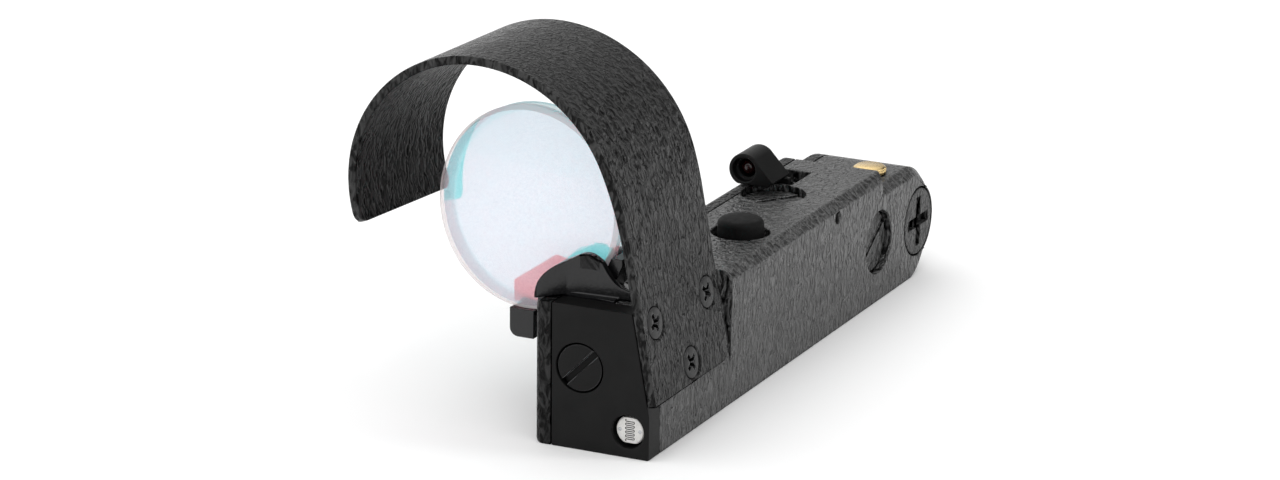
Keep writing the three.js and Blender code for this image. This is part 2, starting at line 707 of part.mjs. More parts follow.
// ---- Rear screw ----
function mountScrew() {
  const knurls = 24;
  const s = new THREE.Shape();
  for (let i = 0; i < knurls * 2; i++) {
    const a = (i / (knurls * 2)) * 2 * Math.PI;
    const r = SCREW.r - (i % 2 ? 0.16 : 0);
    const at = [r * Math.cos(a), r * Math.sin(a)];
    if (i) s.lineTo(...at);
    else s.moveTo(...at);
  }
  const top = 21.75;
  const head = alongZ(s, REAR_TOP + 0.2, top - 0.3);
  const crown = rod("z", 0, 0, SCREW.r - 0.16, top - 0.31, top, knurls * 2, SCREW.r - 0.5);
  const shank = rod("z", 0, 0, 1.5, 0.6, REAR_TOP + 0.5, COARSE);
  return placed(join(head, crown, shank), (g) => g.translate(SCREW.x, SCREW.y, 0));
}

// ---- Assembly ----
const finder = new THREE.Group();

function add(name, shape, material) {
  const geometry = shape.isBufferGeometry ? shape : geometryOf(shape);
  const mesh = new THREE.Mesh(geometry, material);
  mesh.name = name;
  finder.add(mesh);
}

add("housing", housing(), wrinkle());
add("side_plate", sidePlate(), wrinkle());
add("front_plate", frontPlate(), satin());
add("hood", hood(), wrinkle());
PAD_SCREWS.forEach(([y, z], i) => {
  const made = crossScrew(2.7, 1.45, 5.6);
  add(`hood_screw_${i + 1}`, placed(made, (g) => g.translate(0, 0, -0.1), (g) => onPad(g, y, z)), screwBlack());
});
PLATE_SCREWS.forEach(([y, z], i) => {
  const made = crossScrew(2.35, 1.15, 7.6);
  const place = (g) => g.rotateY(-Math.PI / 2).translate(LEFT + 0.25, y, z);
  add(`side_plate_screw_${i + 1}`, placed(made, place), screwBlack());
});
FRONT_PINS.forEach(([x, z], i) => {
  add(`front_plate_pin_${i + 1}`, rod("y", x, z, 0.95, FRONT + 1.7, CASE_FRONT + 3.5), plain());
});
HOLDER_SCREWS.forEach((x, i) => {
  const made = crossScrew(1.8, 0.95, 8);
  add(`holder_screw_${i + 1}`, placed(made, (g) => g.translate(x, -41.8, FRONT_TOP - 0.2)), screwBlack());
});

const lens = lensElements();
add("lens_front_element", lens.front, glass());
add("lens_rear_element", lens.rear, glass());
add("lens_holder", lensHolder(), gloss());
add("lens_clamp", lensClamp(), gloss());

add("trimmer_disc", trimmerDisc(), satin());
add("trimmer_body", trimmerBody(), board());
add("photoresistor", photoresistor(), ceramic());

add("button", button(), rubber());
add("switch_body", switchBody(), satin());
add("switch_plunger", rod("z", BUTTON.x, BUTTON.y, 1.75, 13.6, 16.3), satin());
add("circuit_board", circuitBoard(), board());

add("elevation_screw", elevationScrew(), screwBlack());
add("windage_screw", windageScrew(), screwBlack());
add("elevation_seal", ring("z", ELEVATION.x, ELEVATION.y, WORKS.z1 - 0.6, 1.5 + RUN + 1.4, 0.5), rubber());
add("windage_seal", ring("x", WORKS.x1 - 0.6, WINDAGE.y, WINDAGE.z, 1.5 + RUN + 1.4, 0.5), rubber());
add("elevation_slide", elevationSlide(), plain());
add("windage_slide", windageSlide(), plain());
add("emitter_arm", emitterArm(), satin());
add("led", led(), emitter());
add("lock_screw", lockScrew(), screwBlack());
GUIDES.forEach(([x, y], i) => {
  add(`guide_pin_${i + 1}`, rod("z", x, y, PIN_R, WORKS.z0 + 0.1, WORKS.z1 - 0.1), plain());
});
add("elevation_spring", coil("z", [ELEVATION.x, ELEVATION.y], 2.4, 0.5, WORKS.z0 + 0.1, TRAY.z0 - 0.65, 2.5), plain());
add("windage_spring", coil("x", [WINDAGE.y, WINDAGE.z], 1.9, 0.4, SEAM + 0.7, -4.9, 2), plain());

add("battery_cap", batteryCap(), satin());
add("cap_seal", ring("x", RIGHT - 2.6, CAP.y, CAP.z, 5.42, 0.38), rubber());
add("battery_cell_1", batteryCell(-4.9), plain());
add("battery_cell_2", batteryCell(-4.9 + CELL), plain());
add("contact_spring", coil("x", [CAP.y, CAP.z], 2.6, 0.5, SEAM + 0.6, -5.0, 2), plain());
add("contact_strip", contactStrip(), brass());
add("mount_screw", mountScrew(), brass());

export default finder;
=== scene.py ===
"""Red dot finder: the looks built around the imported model.

Sizes here are millimetres in the part's frame (+Z up, lens end towards -Y, battery cap towards +X),
and every mesh is scaled to metres when it is made.
"""

import math

import bmesh
import bpy
from mathutils import Matrix, Vector

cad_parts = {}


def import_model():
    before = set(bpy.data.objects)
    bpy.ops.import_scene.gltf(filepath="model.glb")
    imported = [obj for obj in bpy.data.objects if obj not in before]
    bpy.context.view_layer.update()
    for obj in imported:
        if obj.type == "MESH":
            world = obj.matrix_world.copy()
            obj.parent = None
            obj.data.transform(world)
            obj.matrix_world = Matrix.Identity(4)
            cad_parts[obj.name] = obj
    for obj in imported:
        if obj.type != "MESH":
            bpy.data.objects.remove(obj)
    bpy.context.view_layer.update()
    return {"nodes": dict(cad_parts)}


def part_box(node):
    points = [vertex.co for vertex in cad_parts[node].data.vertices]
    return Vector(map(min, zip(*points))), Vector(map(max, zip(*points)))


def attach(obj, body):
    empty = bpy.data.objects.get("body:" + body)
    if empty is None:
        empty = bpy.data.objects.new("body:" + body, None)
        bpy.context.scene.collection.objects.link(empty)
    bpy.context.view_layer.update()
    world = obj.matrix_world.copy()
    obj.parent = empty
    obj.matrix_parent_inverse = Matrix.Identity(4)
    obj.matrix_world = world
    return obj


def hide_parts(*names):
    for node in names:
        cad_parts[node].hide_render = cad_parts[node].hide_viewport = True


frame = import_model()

MM = 0.001


def span(node):
    """The low and high corners of a CAD node, in millimetres."""
    low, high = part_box(node)
    return Vector(low) / MM, Vector(high) / MM


# ---- Sizes read from the frame ----
CASE_LOW, CASE_HIGH = span("housing")
PLATE_LOW, PLATE_HIGH = span("side_plate")
FRONT_LOW, FRONT_HIGH = span("front_plate")
LEFT, RIGHT = PLATE_LOW.x, CASE_HIGH.x
SEAM = CASE_LOW.x
FRONT, REAR = FRONT_LOW.y, CASE_HIGH.y
CASE_FRONT = CASE_LOW.y
FRONT_BACK = FRONT_HIGH.y
FRONT_TOP = FRONT_HIGH.z

# ---- Sizes shared with the design ----
TOP = 22.8  # Z of the top
LAND_END = -39.2  # Y where the top changes to the front plate's height
REAR_TOP = 20.2  # Z of the lower top behind the step
STEP = 37.1  # Y of the step
CHAMFER = 1.55
NOTCH_X, NOTCH_END, NOTCH_Z = 2, -39.5, 17.9  # right side, rear and floor of the lens holder's notch

HOOD_WIDTH = 28
HOOD_THICK = 1.45
HOOD_FOOT = (11.4, 9.1)  # X, Z of its lower edge
HOOD_LEAN = math.radians(10.6)
HOOD_FRONT = (25.1, ((60.6, 13.2), (25.6, 67.3), (22.9, 108.5)))  # run, then radius and angle of each bend
HOOD_BACK = (28.7, ((64.5, 5.8), (25.6, 69.6), (22.8, 116)))
PAD_END = -27  # Y of the pad's rear edge
PAD_SEAT = HOOD_THICK + 0.1  # how far the case is cut back under the pad

LENS_AT = Vector((-15.8, -49.5, 36.0))
LENS_R = 16.6
LENS_THICK = 4.6
LENS_SPLIT = 0.42 * LENS_THICK  # place of the surface between its elements
LENS_CURVE = 132  # radius of its outer surfaces
MIRROR_CURVE = 74  # radius of the coated surface between the elements
LENS_PLAY = 0.12  # gap round it in its holder and clamp
LENS_TURN = Matrix.Rotation(math.radians(-3.1), 4, "Z") @ Matrix.Rotation(math.radians(-4.2), 4, "X")

TRIMMER = (-2.1, 13.7, 4.15)  # X, Z, radius
SENSOR = (6.45, 4.35, 2.7)  # X, Z, radius
BUTTON = (2.2, -6.4, 4.95)  # X, Y, radius
ELEVATION = (-1.95, 16.1, 5.55)  # X, Y, radius
WINDAGE = (34.3, 10.8, 5.6)  # Y, Z, radius
CAP = (52, 9.8, 6.2)  # Y, Z, radius
SCREW = (4.55, 42.8, 2.88)  # X, Y, radius
ARM = (-7.95, 25.9, 2.85)  # X, Z, radius
ARM_TILT = 43  # lean of the arm's upper side, in degrees
ARM_Y = (17, 24)
SLOT_X, SLOT_Y = (-6.3, -1.25), (22.3, 30.6)  # the opening in the top that the arm stands in
PAD_SCREWS = ((FRONT + 4.6, 21.6, 22), (FRONT + 23.7, 21.3, 50), (FRONT + 14.6, 12.3, 35))  # Y, Z, turn
PLATE_SCREWS = ((-45, 7.5, 15), (9, 4.6, 70), (9, 17.6, 38), (43.2, 15.5, 55))  # Y, Z, turn
HOLDER_SCREWS = ((-4.6, 28), (-0.2, 61))  # X, turn
HOLDER_SCREW_Y = -41.8
PLAY = 0.25  # gap round the dials
LOCK_HOLE = (ELEVATION[1], 20.2, 1.05)  # Y, Z, radius
SHANK_BORE = 1.75  # radii of the bores
CELL_BORE = 5.95
BUTTON_BORE = 2.9
SENSOR_BORE = 2
TRIMMER_BORE, TRIMMER_ROOM = 1.5, 3.4
DIAL_SEAT = 2.2  # depth of the round seats in the case's right side
BAYS = ((5.4, -38, 6.5, 3, 18), (7.4, 11.6, 40.2, 2.4, 18))  # right side, then Y and Z from and to

# ---- Where cutting tools end: well outside the case, or inside it ----
ABOVE, BELOW = 30, -5
BESIDE = 20
HOLES_END = 15  # Z where the holes from the top end
WINDAGE_END = 5  # X where the windage screw's bore ends
BUTTON_FLOOR, ELEVATION_FLOOR = 21, 19  # Z of the floors of the round seats in the top


# ---- Mesh helpers ----
def made(name, bm):
    """A new object from a bmesh in millimetres."""
    bmesh.ops.scale(bm, vec=(MM, MM, MM), verts=bm.verts)
    bmesh.ops.recalc_face_normals(bm, faces=bm.faces)
    mesh = bpy.data.meshes.new(name)
    bm.to_mesh(mesh)
    bm.free()
    piece = bpy.data.objects.new(name, mesh)
    bpy.context.scene.collection.objects.link(piece)
    return piece


def skin(name, loops):
    """A closed solid through loops of points, all with the same number of points."""
    bm = bmesh.new()
    rings = [[bm.verts.new(p) for p in loop] for loop in loops]
    count = len(rings[0])
    for low, high in zip(rings, rings[1:]):
        for i in range(count):
            j = (i + 1) % count
            bm.faces.new((low[i], low[j], high[j], high[i]))
    bm.faces.new(rings[0][::-1])
    bm.faces.new(rings[-1])
    return made(name, bm)


def on(axis, u, v, w):
    """A point w along an axis, with u and v on the other two in order."""
    return {"x": (w, u, v), "y": (u, w, v), "z": (u, v, w)}[axis]


def prism(name, outline, axis, low, high):
    return skin(name, [[on(axis, u, v, w) for u, v in outline] for w in (low, high)])


def block(x0, x1, y0, y1, z0, z1):
    return prism("block", ((x0, y0), (x1, y0), (x1, y1), (x0, y1)), "z", z0, z1)


def turned(name, profile, axis="z", centre=(0, 0), sides=96, ripple=None):
    """A solid of revolution. The profile is (radius, place along the axis); ripple is (count, depth)."""
    loops = []
    for radius, w in profile:
        loop = []
        for i in range(sides):
            a = 2 * math.pi * i / sides
            r = radius - (ripple[1] * (0.5 + 0.5 * math.cos(ripple[0] * a)) if ripple else 0)
            loop.append(on(axis, centre[0] + r * math.cos(a), centre[1] + r * math.sin(a), w))
        loops.append(loop)
    return skin(name, loops)


def rod(axis, u, v, radius, low, high, sides=64):
    return turned("rod", ((radius, low), (radius, high)), axis, (u, v), sides)


def moved(piece, matrix):
    """Moves the mesh itself by a matrix in millimetres, leaving the object at the origin."""
    scale = Matrix.Scale(MM, 4)
    piece.data.transform(scale @ matrix @ scale.inverted())
    return piece


def baked(piece):
    """Turns the modifiers into mesh."""
    graph = bpy.context.evaluated_depsgraph_get()
    mesh = bpy.data.meshes.new_from_object(piece.evaluated_get(graph))
    piece.modifiers.clear()
    piece.data = mesh
    return piece


def combine(piece, operation, tools):
    for tool in tools:
        step = piece.modifiers.new(operation, "BOOLEAN")
        step.operation = operation
        step.solver = "EXACT"
        step.object = tool
    bpy.context.view_layer.update()
    baked(piece)
    for tool in tools:
        bpy.data.objects.remove(tool)
    return piece


def carved(piece, *tools):
    return combine(piece, "DIFFERENCE", tools)


def joined(piece, *others):
    return combine(piece, "UNION", others)


def common(piece, *others):
    return combine(piece, "INTERSECT", others)


def soften(piece, width, segments=3, angle=35):
    """Rounds the sharp edges and smooths the shading between them."""
    clean = bmesh.new()
    clean.from_mesh(piece.data)
    bmesh.ops.remove_doubles(clean, verts=clean.verts, dist=0.004 * MM)
    clean.to_mesh(piece.data)
    clean.free()
    bevel = piece.modifiers.new("round", "BEVEL")
    bevel.width = width * MM
    bevel.segments = segments
    bevel.limit_method = "ANGLE"
    bevel.angle_limit = math.radians(angle)
    bevel.use_clamp_overlap = False
    piece.data.polygons.foreach_set("use_smooth", [True] * len(piece.data.polygons))
    normal = piece.modifiers.new("normals", "WEIGHTED_NORMAL")
    normal.keep_sharp = True
    return baked(piece)


def arc(u, v, radius, start, end, steps):
    """Points on an arc, angles in degrees."""
    points = []
    for i in range(steps + 1):
        a = math.radians(start + (end - start) * i / steps)
        points.append((u + radius * math.cos(a), v + radius * math.sin(a)))
    return points


def place(piece, body, slot, material, *nodes):
    """Gives a finished piece its material and its body, and hides the CAD nodes that it stands for."""
    piece.data.materials.clear()
    piece.data.materials.append(material)
    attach(piece, body)
    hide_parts(*nodes)
    return piece


# ---- Material helpers ----
class Look:
    """A procedural material over a Principled shader, with coordinates in millimetres."""

    def __init__(self, name, rough, metal=0.0, specular=0.5):
        self.material = bpy.data.materials.new(name)
        self.material.use_nodes = True
        self.tree = self.material.node_tree
        self.shader = self.tree.nodes["Principled BSDF"]
        self.shader.inputs["Roughness"].default_value = rough
        self.shader.inputs["Metallic"].default_value = metal
        self.shader.inputs["Specular IOR Level"].default_value = specular
        self.coordinates = self.node("ShaderNodeTexCoord").outputs["Object"]

    def node(self, kind, **settings):
        made_node = self.tree.nodes.new(kind)
        for key, value in settings.items():
            setattr(made_node, key, value)
        return made_node

    def link(self, source, target):
        self.tree.links.new(source, target)

    def scaled(self, x, y, z, shift=(0, 0, 0)):
        """Coordinates where a unit is 1 mm divided by the given factors, moved by a shift in mm."""
        mapping = self.node("ShaderNodeMapping")
        mapping.inputs["Location"].default_value = (x * shift[0], y * shift[1], z * shift[2])
        mapping.inputs["Scale"].default_value = (x / MM, y / MM, z / MM)
        self.link(self.coordinates, mapping.inputs["Vector"])
        return mapping.outputs["Vector"]

    def noise(self, scale, detail=3.0, rough=0.55, distort=0.0, shift=(0, 0, 0)):
        """Noise of 0 to 1. Scale is in features per millimetre, one number or one for each axis."""
        x, y, z = scale if isinstance(scale, tuple) else (scale, scale, scale)
        texture = self.node("ShaderNodeTexNoise")
        texture.inputs["Scale"].default_value = 1.0
        texture.inputs["Detail"].default_value = detail
        texture.inputs["Roughness"].default_value = rough
        texture.inputs["Distortion"].default_value = distort
        self.link(self.scaled(x, y, z, shift), texture.inputs["Vector"])
        return texture.outputs["Fac"]

    def math(self, operation, a, b=0.0, clamp=False):
        step = self.node("ShaderNodeMath", operation=operation, use_clamp=clamp)
        for socket, value in zip(step.inputs, (a, b)):
            if isinstance(value, (int, float)):
                socket.default_value = value
            else:
                self.link(value, socket)
        return step.outputs[0]

    def remap(self, value, low, high, to_low, to_high):
        step = self.node("ShaderNodeMapRange")
        self.link(value, step.inputs[0])
        for socket, number in zip(step.inputs[1:5], (low, high, to_low, to_high)):
            socket.default_value = number
        return step.outputs[0]

    def mix(self, factor, a, b):
        """A colour between a and b."""
        step = self.node("ShaderNodeMix", data_type="RGBA")
        if isinstance(factor, (int, float)):
            step.inputs[0].default_value = factor
        else:
            self.link(factor, step.inputs[0])
        color_a, color_b = step.inputs[6], step.inputs[7]
        for socket, value in ((color_a, a), (color_b, b)):
            if isinstance(value, tuple):
                socket.default_value = (*value, 1)
            else:
                self.link(value, socket)
        mixed_color = step.outputs[2]
        return mixed_color

    def color(self, source):
        self.link(source, self.shader.inputs["Base Color"])

    def rough(self, source):
        self.link(source, self.shader.inputs["Roughness"])

    def bump(self, height, depth):
        """Relief from a 0 to 1 height, depth in millimetres."""
        step = self.node("ShaderNodeBump")
        step.inputs["Strength"].default_value = 1.0
        step.inputs["Distance"].default_value = depth * MM
        self.link(height, step.inputs["Height"])
        self.link(step.outputs["Normal"], self.shader.inputs["Normal"])

    def painted_crevice_shade(self, reach):
        """Painted shade: darkens what lies closer than the reach to another surface, in millimetres."""
        near = self.node("ShaderNodeAmbientOcclusion", samples=10)
        near.inputs["Distance"].default_value = reach * MM
        # The near-black sheet mixed in as painted shade.
        dark = self.node("ShaderNodeBsdfDiffuse")
        dark.inputs["Color"].default_value = (0.002, 0.002, 0.002, 1)
        mixed = self.node("ShaderNodeMixShader")
        self.link(self.remap(near.outputs["AO"], 0.35, 0.8, 0, 1), mixed.inputs[0])
        self.link(dark.outputs[0], mixed.inputs[1])
        self.link(self.shader.outputs[0], mixed.inputs[2])
        self.link(mixed.outputs[0], self.tree.nodes["Material Output"].inputs["Surface"])

    def edges(self, radius):
        """1 on sharp edges and 0 elsewhere, from the difference between two normals."""
        bevel = self.node("ShaderNodeBevel", samples=4)
        bevel.inputs["Radius"].default_value = radius * MM
        geometry = self.node("ShaderNodeNewGeometry")
        dot = self.node("ShaderNodeVectorMath", operation="DOT_PRODUCT")
        self.link(bevel.outputs["Normal"], dot.inputs[0])
        self.link(geometry.outputs["Normal"], dot.inputs[1])
        return self.remap(dot.outputs["Value"], 0.995, 0.93, 0, 1)


# ---- Materials ----
def wrinkle_paint(
    name, stretch=(1.0, 1.0, 0.5), rough=0.3, depth=0.6, base=0.015, specular=0.56, pale_edges=0.0
):
    """Black paint with short raised wrinkles that run along the axis with the smallest stretch.

    One side of each wrinkle is painted paler than the other: a painted highlight and painted shade, as
    when light rakes over it.
    Depth is in millimetres, base sets the shade, and the last argument sets how pale a painted highlight
    on the sharp edges is.
    """
    look = Look(name, rough, specular=specular)
    coarse = tuple(0.9 * s for s in stretch)
    fine = tuple(2.4 * s for s in coarse)
    field = look.noise(coarse, detail=1.6, rough=0.45, distort=0.8)
    beside = look.noise(coarse, detail=1.6, rough=0.45, distort=0.8, shift=(0.2, -0.34, 0.14))
    second = look.noise(fine, detail=1.0, distort=0.5)
    height = look.math("ADD", look.remap(field, 0.38, 0.62, 0.0, 0.8), look.math("MULTIPLY", second, 0.3))
    look.bump(height, depth)
    # Painted highlight and shade: the colour steps from dark to pale across each wrinkle, as if light
    # raked over it from one side.
    painted_rake_light = look.remap(look.math("SUBTRACT", field, beside), -0.09, 0.09, 0, 1)
    dark, pale = (base * 0.02,) * 3, (base * 4,) * 3
    body = look.mix(painted_rake_light, dark, pale)
    # Painted highlight: when asked for, the sharp edges are mixed paler.
    look.color(look.mix(look.edges(0.15), body, (pale_edges,) * 3) if pale_edges else body)
    look.rough(look.remap(look.noise(0.35), 0.3, 0.7, rough - 0.04, rough + 0.05))
    # Painted shade in recesses, under the pad and along joins.
    look.painted_crevice_shade(0.8)
    return look.material


def satin_black(name, base=0.006, rough=0.42, specular=0.3):
    look = Look(name, rough, specular=specular)
    fine = look.noise(5.0, detail=4.0)
    cloud = look.noise(0.25, detail=2.0)
    look.color(look.mix(look.remap(cloud, 0.3, 0.7, 0, 1), (base * 0.8,) * 3, (base * 1.3,) * 3))
    look.rough(look.remap(fine, 0.3, 0.7, rough - 0.05, rough + 0.06))
    look.bump(fine, 0.012)
    return look.material


def gloss_black(name):
    look = Look(name, 0.2, specular=0.45)
    fine = look.noise(2.2, detail=2.0)
    look.color(look.mix(look.remap(fine, 0.3, 0.7, 0, 1), (0.004, 0.004, 0.0045), (0.008, 0.008, 0.009)))
    look.rough(look.remap(fine, 0.3, 0.7, 0.16, 0.27))
    look.bump(fine, 0.02)
    return look.material


def black_screw(name, base=0.02, rough=0.3, specular=0.5):
    look = Look(name, rough, metal=0.35, specular=specular)
    fine = look.noise(6.0, detail=3.0)
    # The sharp edges are mixed towards a pale grey.
    pale_edges = look.edges(0.16)
    body = look.mix(look.remap(fine, 0.3, 0.7, 0, 1), (base * 0.7,) * 3, (base * 1.5,) * 3)
    look.color(look.mix(pale_edges, body, (0.16, 0.16, 0.165)))
    look.rough(look.remap(fine, 0.3, 0.7, rough - 0.06, rough + 0.08))
    look.bump(fine, 0.012)
    # Painted shade in the cross recess and round the head.
    look.painted_crevice_shade(1.0)
    return look.material


def rubber(name):
    look = Look(name, 0.62, specular=0.1)
    fine = look.noise(4.0, detail=4.0)
    look.color(look.mix(look.remap(fine, 0.3, 0.7, 0, 1), (0.003, 0.003, 0.003), (0.007, 0.007, 0.007)))
    look.rough(look.remap(look.noise(0.8), 0.3, 0.7, 0.56, 0.7))
    look.bump(fine, 0.02)
    return look.material


def metal(name, color, rough, streak):
    """Bare metal with fine streaks; streak is the noise's stretch along X, Y and Z."""
    look = Look(name, rough, metal=1.0)
    lines = look.noise(streak, detail=3.0)
    dark = tuple(0.72 * c for c in color)
    look.color(look.mix(look.remap(lines, 0.3, 0.7, 0, 1), dark, color))
    look.rough(look.remap(lines, 0.3, 0.7, rough - 0.07, rough + 0.08))
    look.bump(lines, 0.008)
    return look.material


def plain_plastic(name, color, rough):
    look = Look(name, rough)
    fine = look.noise(3.0, detail=3.0)
    light = tuple(1.4 * c for c in color)
    look.color(look.mix(look.remap(fine, 0.3, 0.7, 0, 1), color, light))
    look.rough(look.remap(fine, 0.3, 0.7, rough - 0.06, rough + 0.08))
    look.bump(fine, 0.012)
    return look.material


def board_laminate(name):
    """Green laminate with paler copper under the mask."""
    look = Look(name, 0.4)
    cells = look.node("ShaderNodeTexVoronoi", feature="DISTANCE_TO_EDGE")
    cells.inputs["Scale"].default_value = 1.0
    look.link(look.scaled(0.45, 0.45, 0.45), cells.inputs["Vector"])
    track = look.remap(cells.outputs["Distance"], 0.04, 0.07, 1, 0)
    look.color(look.mix(track, (0.012, 0.11, 0.035), (0.05, 0.22, 0.07)))
    look.bump(track, 0.02)
    return look.material


def ceramic(name):
    look = Look(name, 0.35)
    fine = look.noise(5.0, detail=3.0)
    look.color(look.mix(look.remap(fine, 0.3, 0.7, 0, 1), (0.62, 0.61, 0.59), (0.74, 0.73, 0.71)))
    look.bump(fine, 0.02)
    return look.material


def red_epoxy(name):
    look = Look(name, 0.12)
    fine = look.noise(2.0)
    look.color(look.mix(look.remap(fine, 0.3, 0.7, 0, 1), (0.006, 0.001, 0.001), (0.016, 0.002, 0.002)))
    look.shader.inputs["Coat Weight"].default_value = 0.1
    return look.material


def see_through(name, passes, mirrors, veil, veil_share):
    """A thin coat: what it passes, what it mirrors, and a pale veil of scattered light over both."""
    material = bpy.data.materials.new(name)
    material.use_nodes = True
    nodes, links = material.node_tree.nodes, material.node_tree.links
    nodes.remove(nodes["Principled BSDF"])
    clear = nodes.new("ShaderNodeBsdfTransparent")
    clear.inputs["Color"].default_value = (*passes, 1)
    mirror = nodes.new("ShaderNodeBsdfGlossy")
    mirror.inputs["Color"].default_value = (*mirrors, 1)
    mirror.inputs["Roughness"].default_value = 0.0
    both = nodes.new("ShaderNodeAddShader")
    links.new(clear.outputs[0], both.inputs[0])
    links.new(mirror.outputs[0], both.inputs[1])
    scatter = nodes.new("ShaderNodeBsdfDiffuse")
    scatter.inputs["Color"].default_value = (*veil, 1)
    haze = nodes.new("ShaderNodeTexNoise")
    haze.inputs["Scale"].default_value = 0.08 / MM
    share = nodes.new("ShaderNodeMapRange")
    links.new(haze.outputs["Fac"], share.inputs[0])
    for socket, number in zip(share.inputs[1:5], (0.3, 0.7, 0.9 * veil_share, 1.1 * veil_share)):
        socket.default_value = number
    mixed = nodes.new("ShaderNodeMixShader")
    links.new(share.outputs[0], mixed.inputs[0])
    links.new(both.outputs[0], mixed.inputs[1])
    links.new(scatter.outputs[0], mixed.inputs[2])
    links.new(mixed.outputs[0], nodes["Material Output"].inputs["Surface"])
    return material


def ground_glass(name, tint):
    """The finely ground rim of a lens: light scatters in it and some passes through."""
    material = bpy.data.materials.new(name)
    material.use_nodes = True
    nodes, links = material.node_tree.nodes, material.node_tree.links
    shader = nodes["Principled BSDF"]
    shader.inputs["Roughness"].default_value = 0.35
    grain = nodes.new("ShaderNodeTexNoise")
    grain.inputs["Scale"].default_value = 5 / MM
    ramp = nodes.new("ShaderNodeValToRGB")
    ramp.color_ramp.elements[0].color = (*(0.9 * c for c in tint), 1)
    ramp.color_ramp.elements[1].color = (*tint, 1)
    links.new(grain.outputs["Fac"], ramp.inputs[0])
    links.new(ramp.outputs["Color"], shader.inputs["Base Color"])
    clear = nodes.new("ShaderNodeBsdfTransparent")
    clear.inputs["Color"].default_value = (*tint, 1)
    mixed = nodes.new("ShaderNodeMixShader")
    mixed.inputs[0].default_value = 0.6
    links.new(shader.outputs[0], mixed.inputs[1])
    links.new(clear.outputs[0], mixed.inputs[2])
    links.new(mixed.outputs[0], nodes["Material Output"].inputs["Surface"])
    return material


PAINT_CASE = wrinkle_paint("wrinkle_paint_case")
PAINT_PLATE = wrinkle_paint("wrinkle_paint_plate", base=0.006, specular=0.12)
PAINT_HOOD = wrinkle_paint("wrinkle_paint_hood", base=0.01, specular=0.14)
# A darker, duller copy of the wrinkle paint for the hood's inner faces: painted shade.
SHADED_INSIDE_PAINT = wrinkle_paint("wrinkle_paint_shaded_inside", depth=0.3, base=0.006, specular=0.05)
FINE = (1.3, 1.3, 0.8)  # the dials' wrinkles are finer than the case's
# The dials get a painted highlight on their sharp edges, along the slot and the rim.
DIAL = wrinkle_paint("dial_paint", FINE, rough=0.36, depth=0.3, pale_edges=0.3)
CAP_PAINT = wrinkle_paint("cap_paint", FINE, rough=0.4, depth=0.3, base=0.012, specular=0.3)
SATIN_FRONT = satin_black("satin_front", base=0.004, specular=0.15)
SATIN_PART = satin_black("satin_part", base=0.004, rough=0.42, specular=0.15)
GLOSS = gloss_black("gloss_lacquer")
OXIDE = black_screw("oxide_screw", base=0.01, rough=0.34, specular=0.35)
OXIDE_DISC = black_screw("oxide_disc", base=0.006, rough=0.42, specular=0.2)
RUBBER = rubber("button_rubber")
STEEL = metal("bare_steel", (0.56, 0.57, 0.59), 0.3, (1.0, 6.0, 6.0))
BRASS = metal("turned_brass", (0.83, 0.62, 0.3), 0.26, (3.0, 3.0, 9.0))
CERAMIC = ceramic("sensor_ceramic")
TRACK = satin_black("sensor_track", base=0.012, rough=0.5)
EMITTER = red_epoxy("emitter_epoxy")
PLASTIC = plain_plastic("moulded_plastic", (0.02, 0.02, 0.02), 0.45)
BOARD = board_laminate("laminate")
COAT = see_through(
    "dichroic_coat",
    passes=(0.13, 0.66, 0.70),
    mirrors=(0.62, 0.11, 0.14),
    veil=(0.86, 0.87, 0.93),
    veil_share=0.34,
)
HAZE = (0.9, 0.93, 1.0)
CLEAR = see_through("clear_face", (0.98, 0.99, 0.99), (0.01, 0.01, 0.01), HAZE, veil_share=0.01)
BACK_COAT = see_through("back_face", (0.95, 0.97, 0.97), (0.04, 0.03, 0.035), HAZE, veil_share=0.02)
FRONT_RIM = ground_glass("front_rim", (0.94, 0.91, 0.91))
REAR_RIM = ground_glass("rear_rim", (0.80, 0.93, 0.95))


# ---- Case ----
def case_outline(front, inset=0.0, keel=False):
    """The case's side view in Y, Z. With keel, the inset fades in round the rear end from the bottom."""
    radius = REAR_TOP / 2
    points = [(front, 0 if keel else inset)]
    steps = 36
    for i in range(steps + 1):
        share = i / steps
        grow = min(1.0, share * 3) if keel else 1.0
        fade = grow * grow * (3 - 2 * grow)
        a = math.pi * (share - 0.5)
        r = radius - inset * fade
        points.append((REAR - radius + r * math.cos(a), radius + r * math.sin(a)))
    points += [
        (STEP - inset, REAR_TOP - inset),
        (STEP - inset, TOP - inset),
        (LAND_END, TOP - inset),
        (LAND_END - 1, FRONT_TOP - inset),
        (front, FRONT_TOP - inset),
    ]
    return points


def case_slice(x, front, inset=0.0, keel=False):
    return [(x, y, z) for y, z in case_outline(front, inset, keel)]


def pad_x(z, depth=0.0):
    """X of the hood's pad at a height, at a depth under its outside."""
    return HOOD_FOOT[0] - (z - HOOD_FOOT[1]) * math.tan(HOOD_LEAN) - depth / math.cos(HOOD_LEAN)


def leaning_cut(depth, y0, y1):
    """All that lies to the right of the hood's pad, from a depth under its outside."""
    high = 40
    outline = ((pad_x(-1, depth), -1), (high, -1), (high, high), (pad_x(high, depth), high))
    return prism("leaning", outline, "y", y0, y1)


def on_pad(piece, y, z):
    """Lays a screw made along Z square on the hood's pad."""
    turn = Matrix.Rotation(math.pi / 2 - HOOD_LEAN, 4, "Y")
    return moved(piece, Matrix.Translation((pad_x(z), y, z)) @ turn)


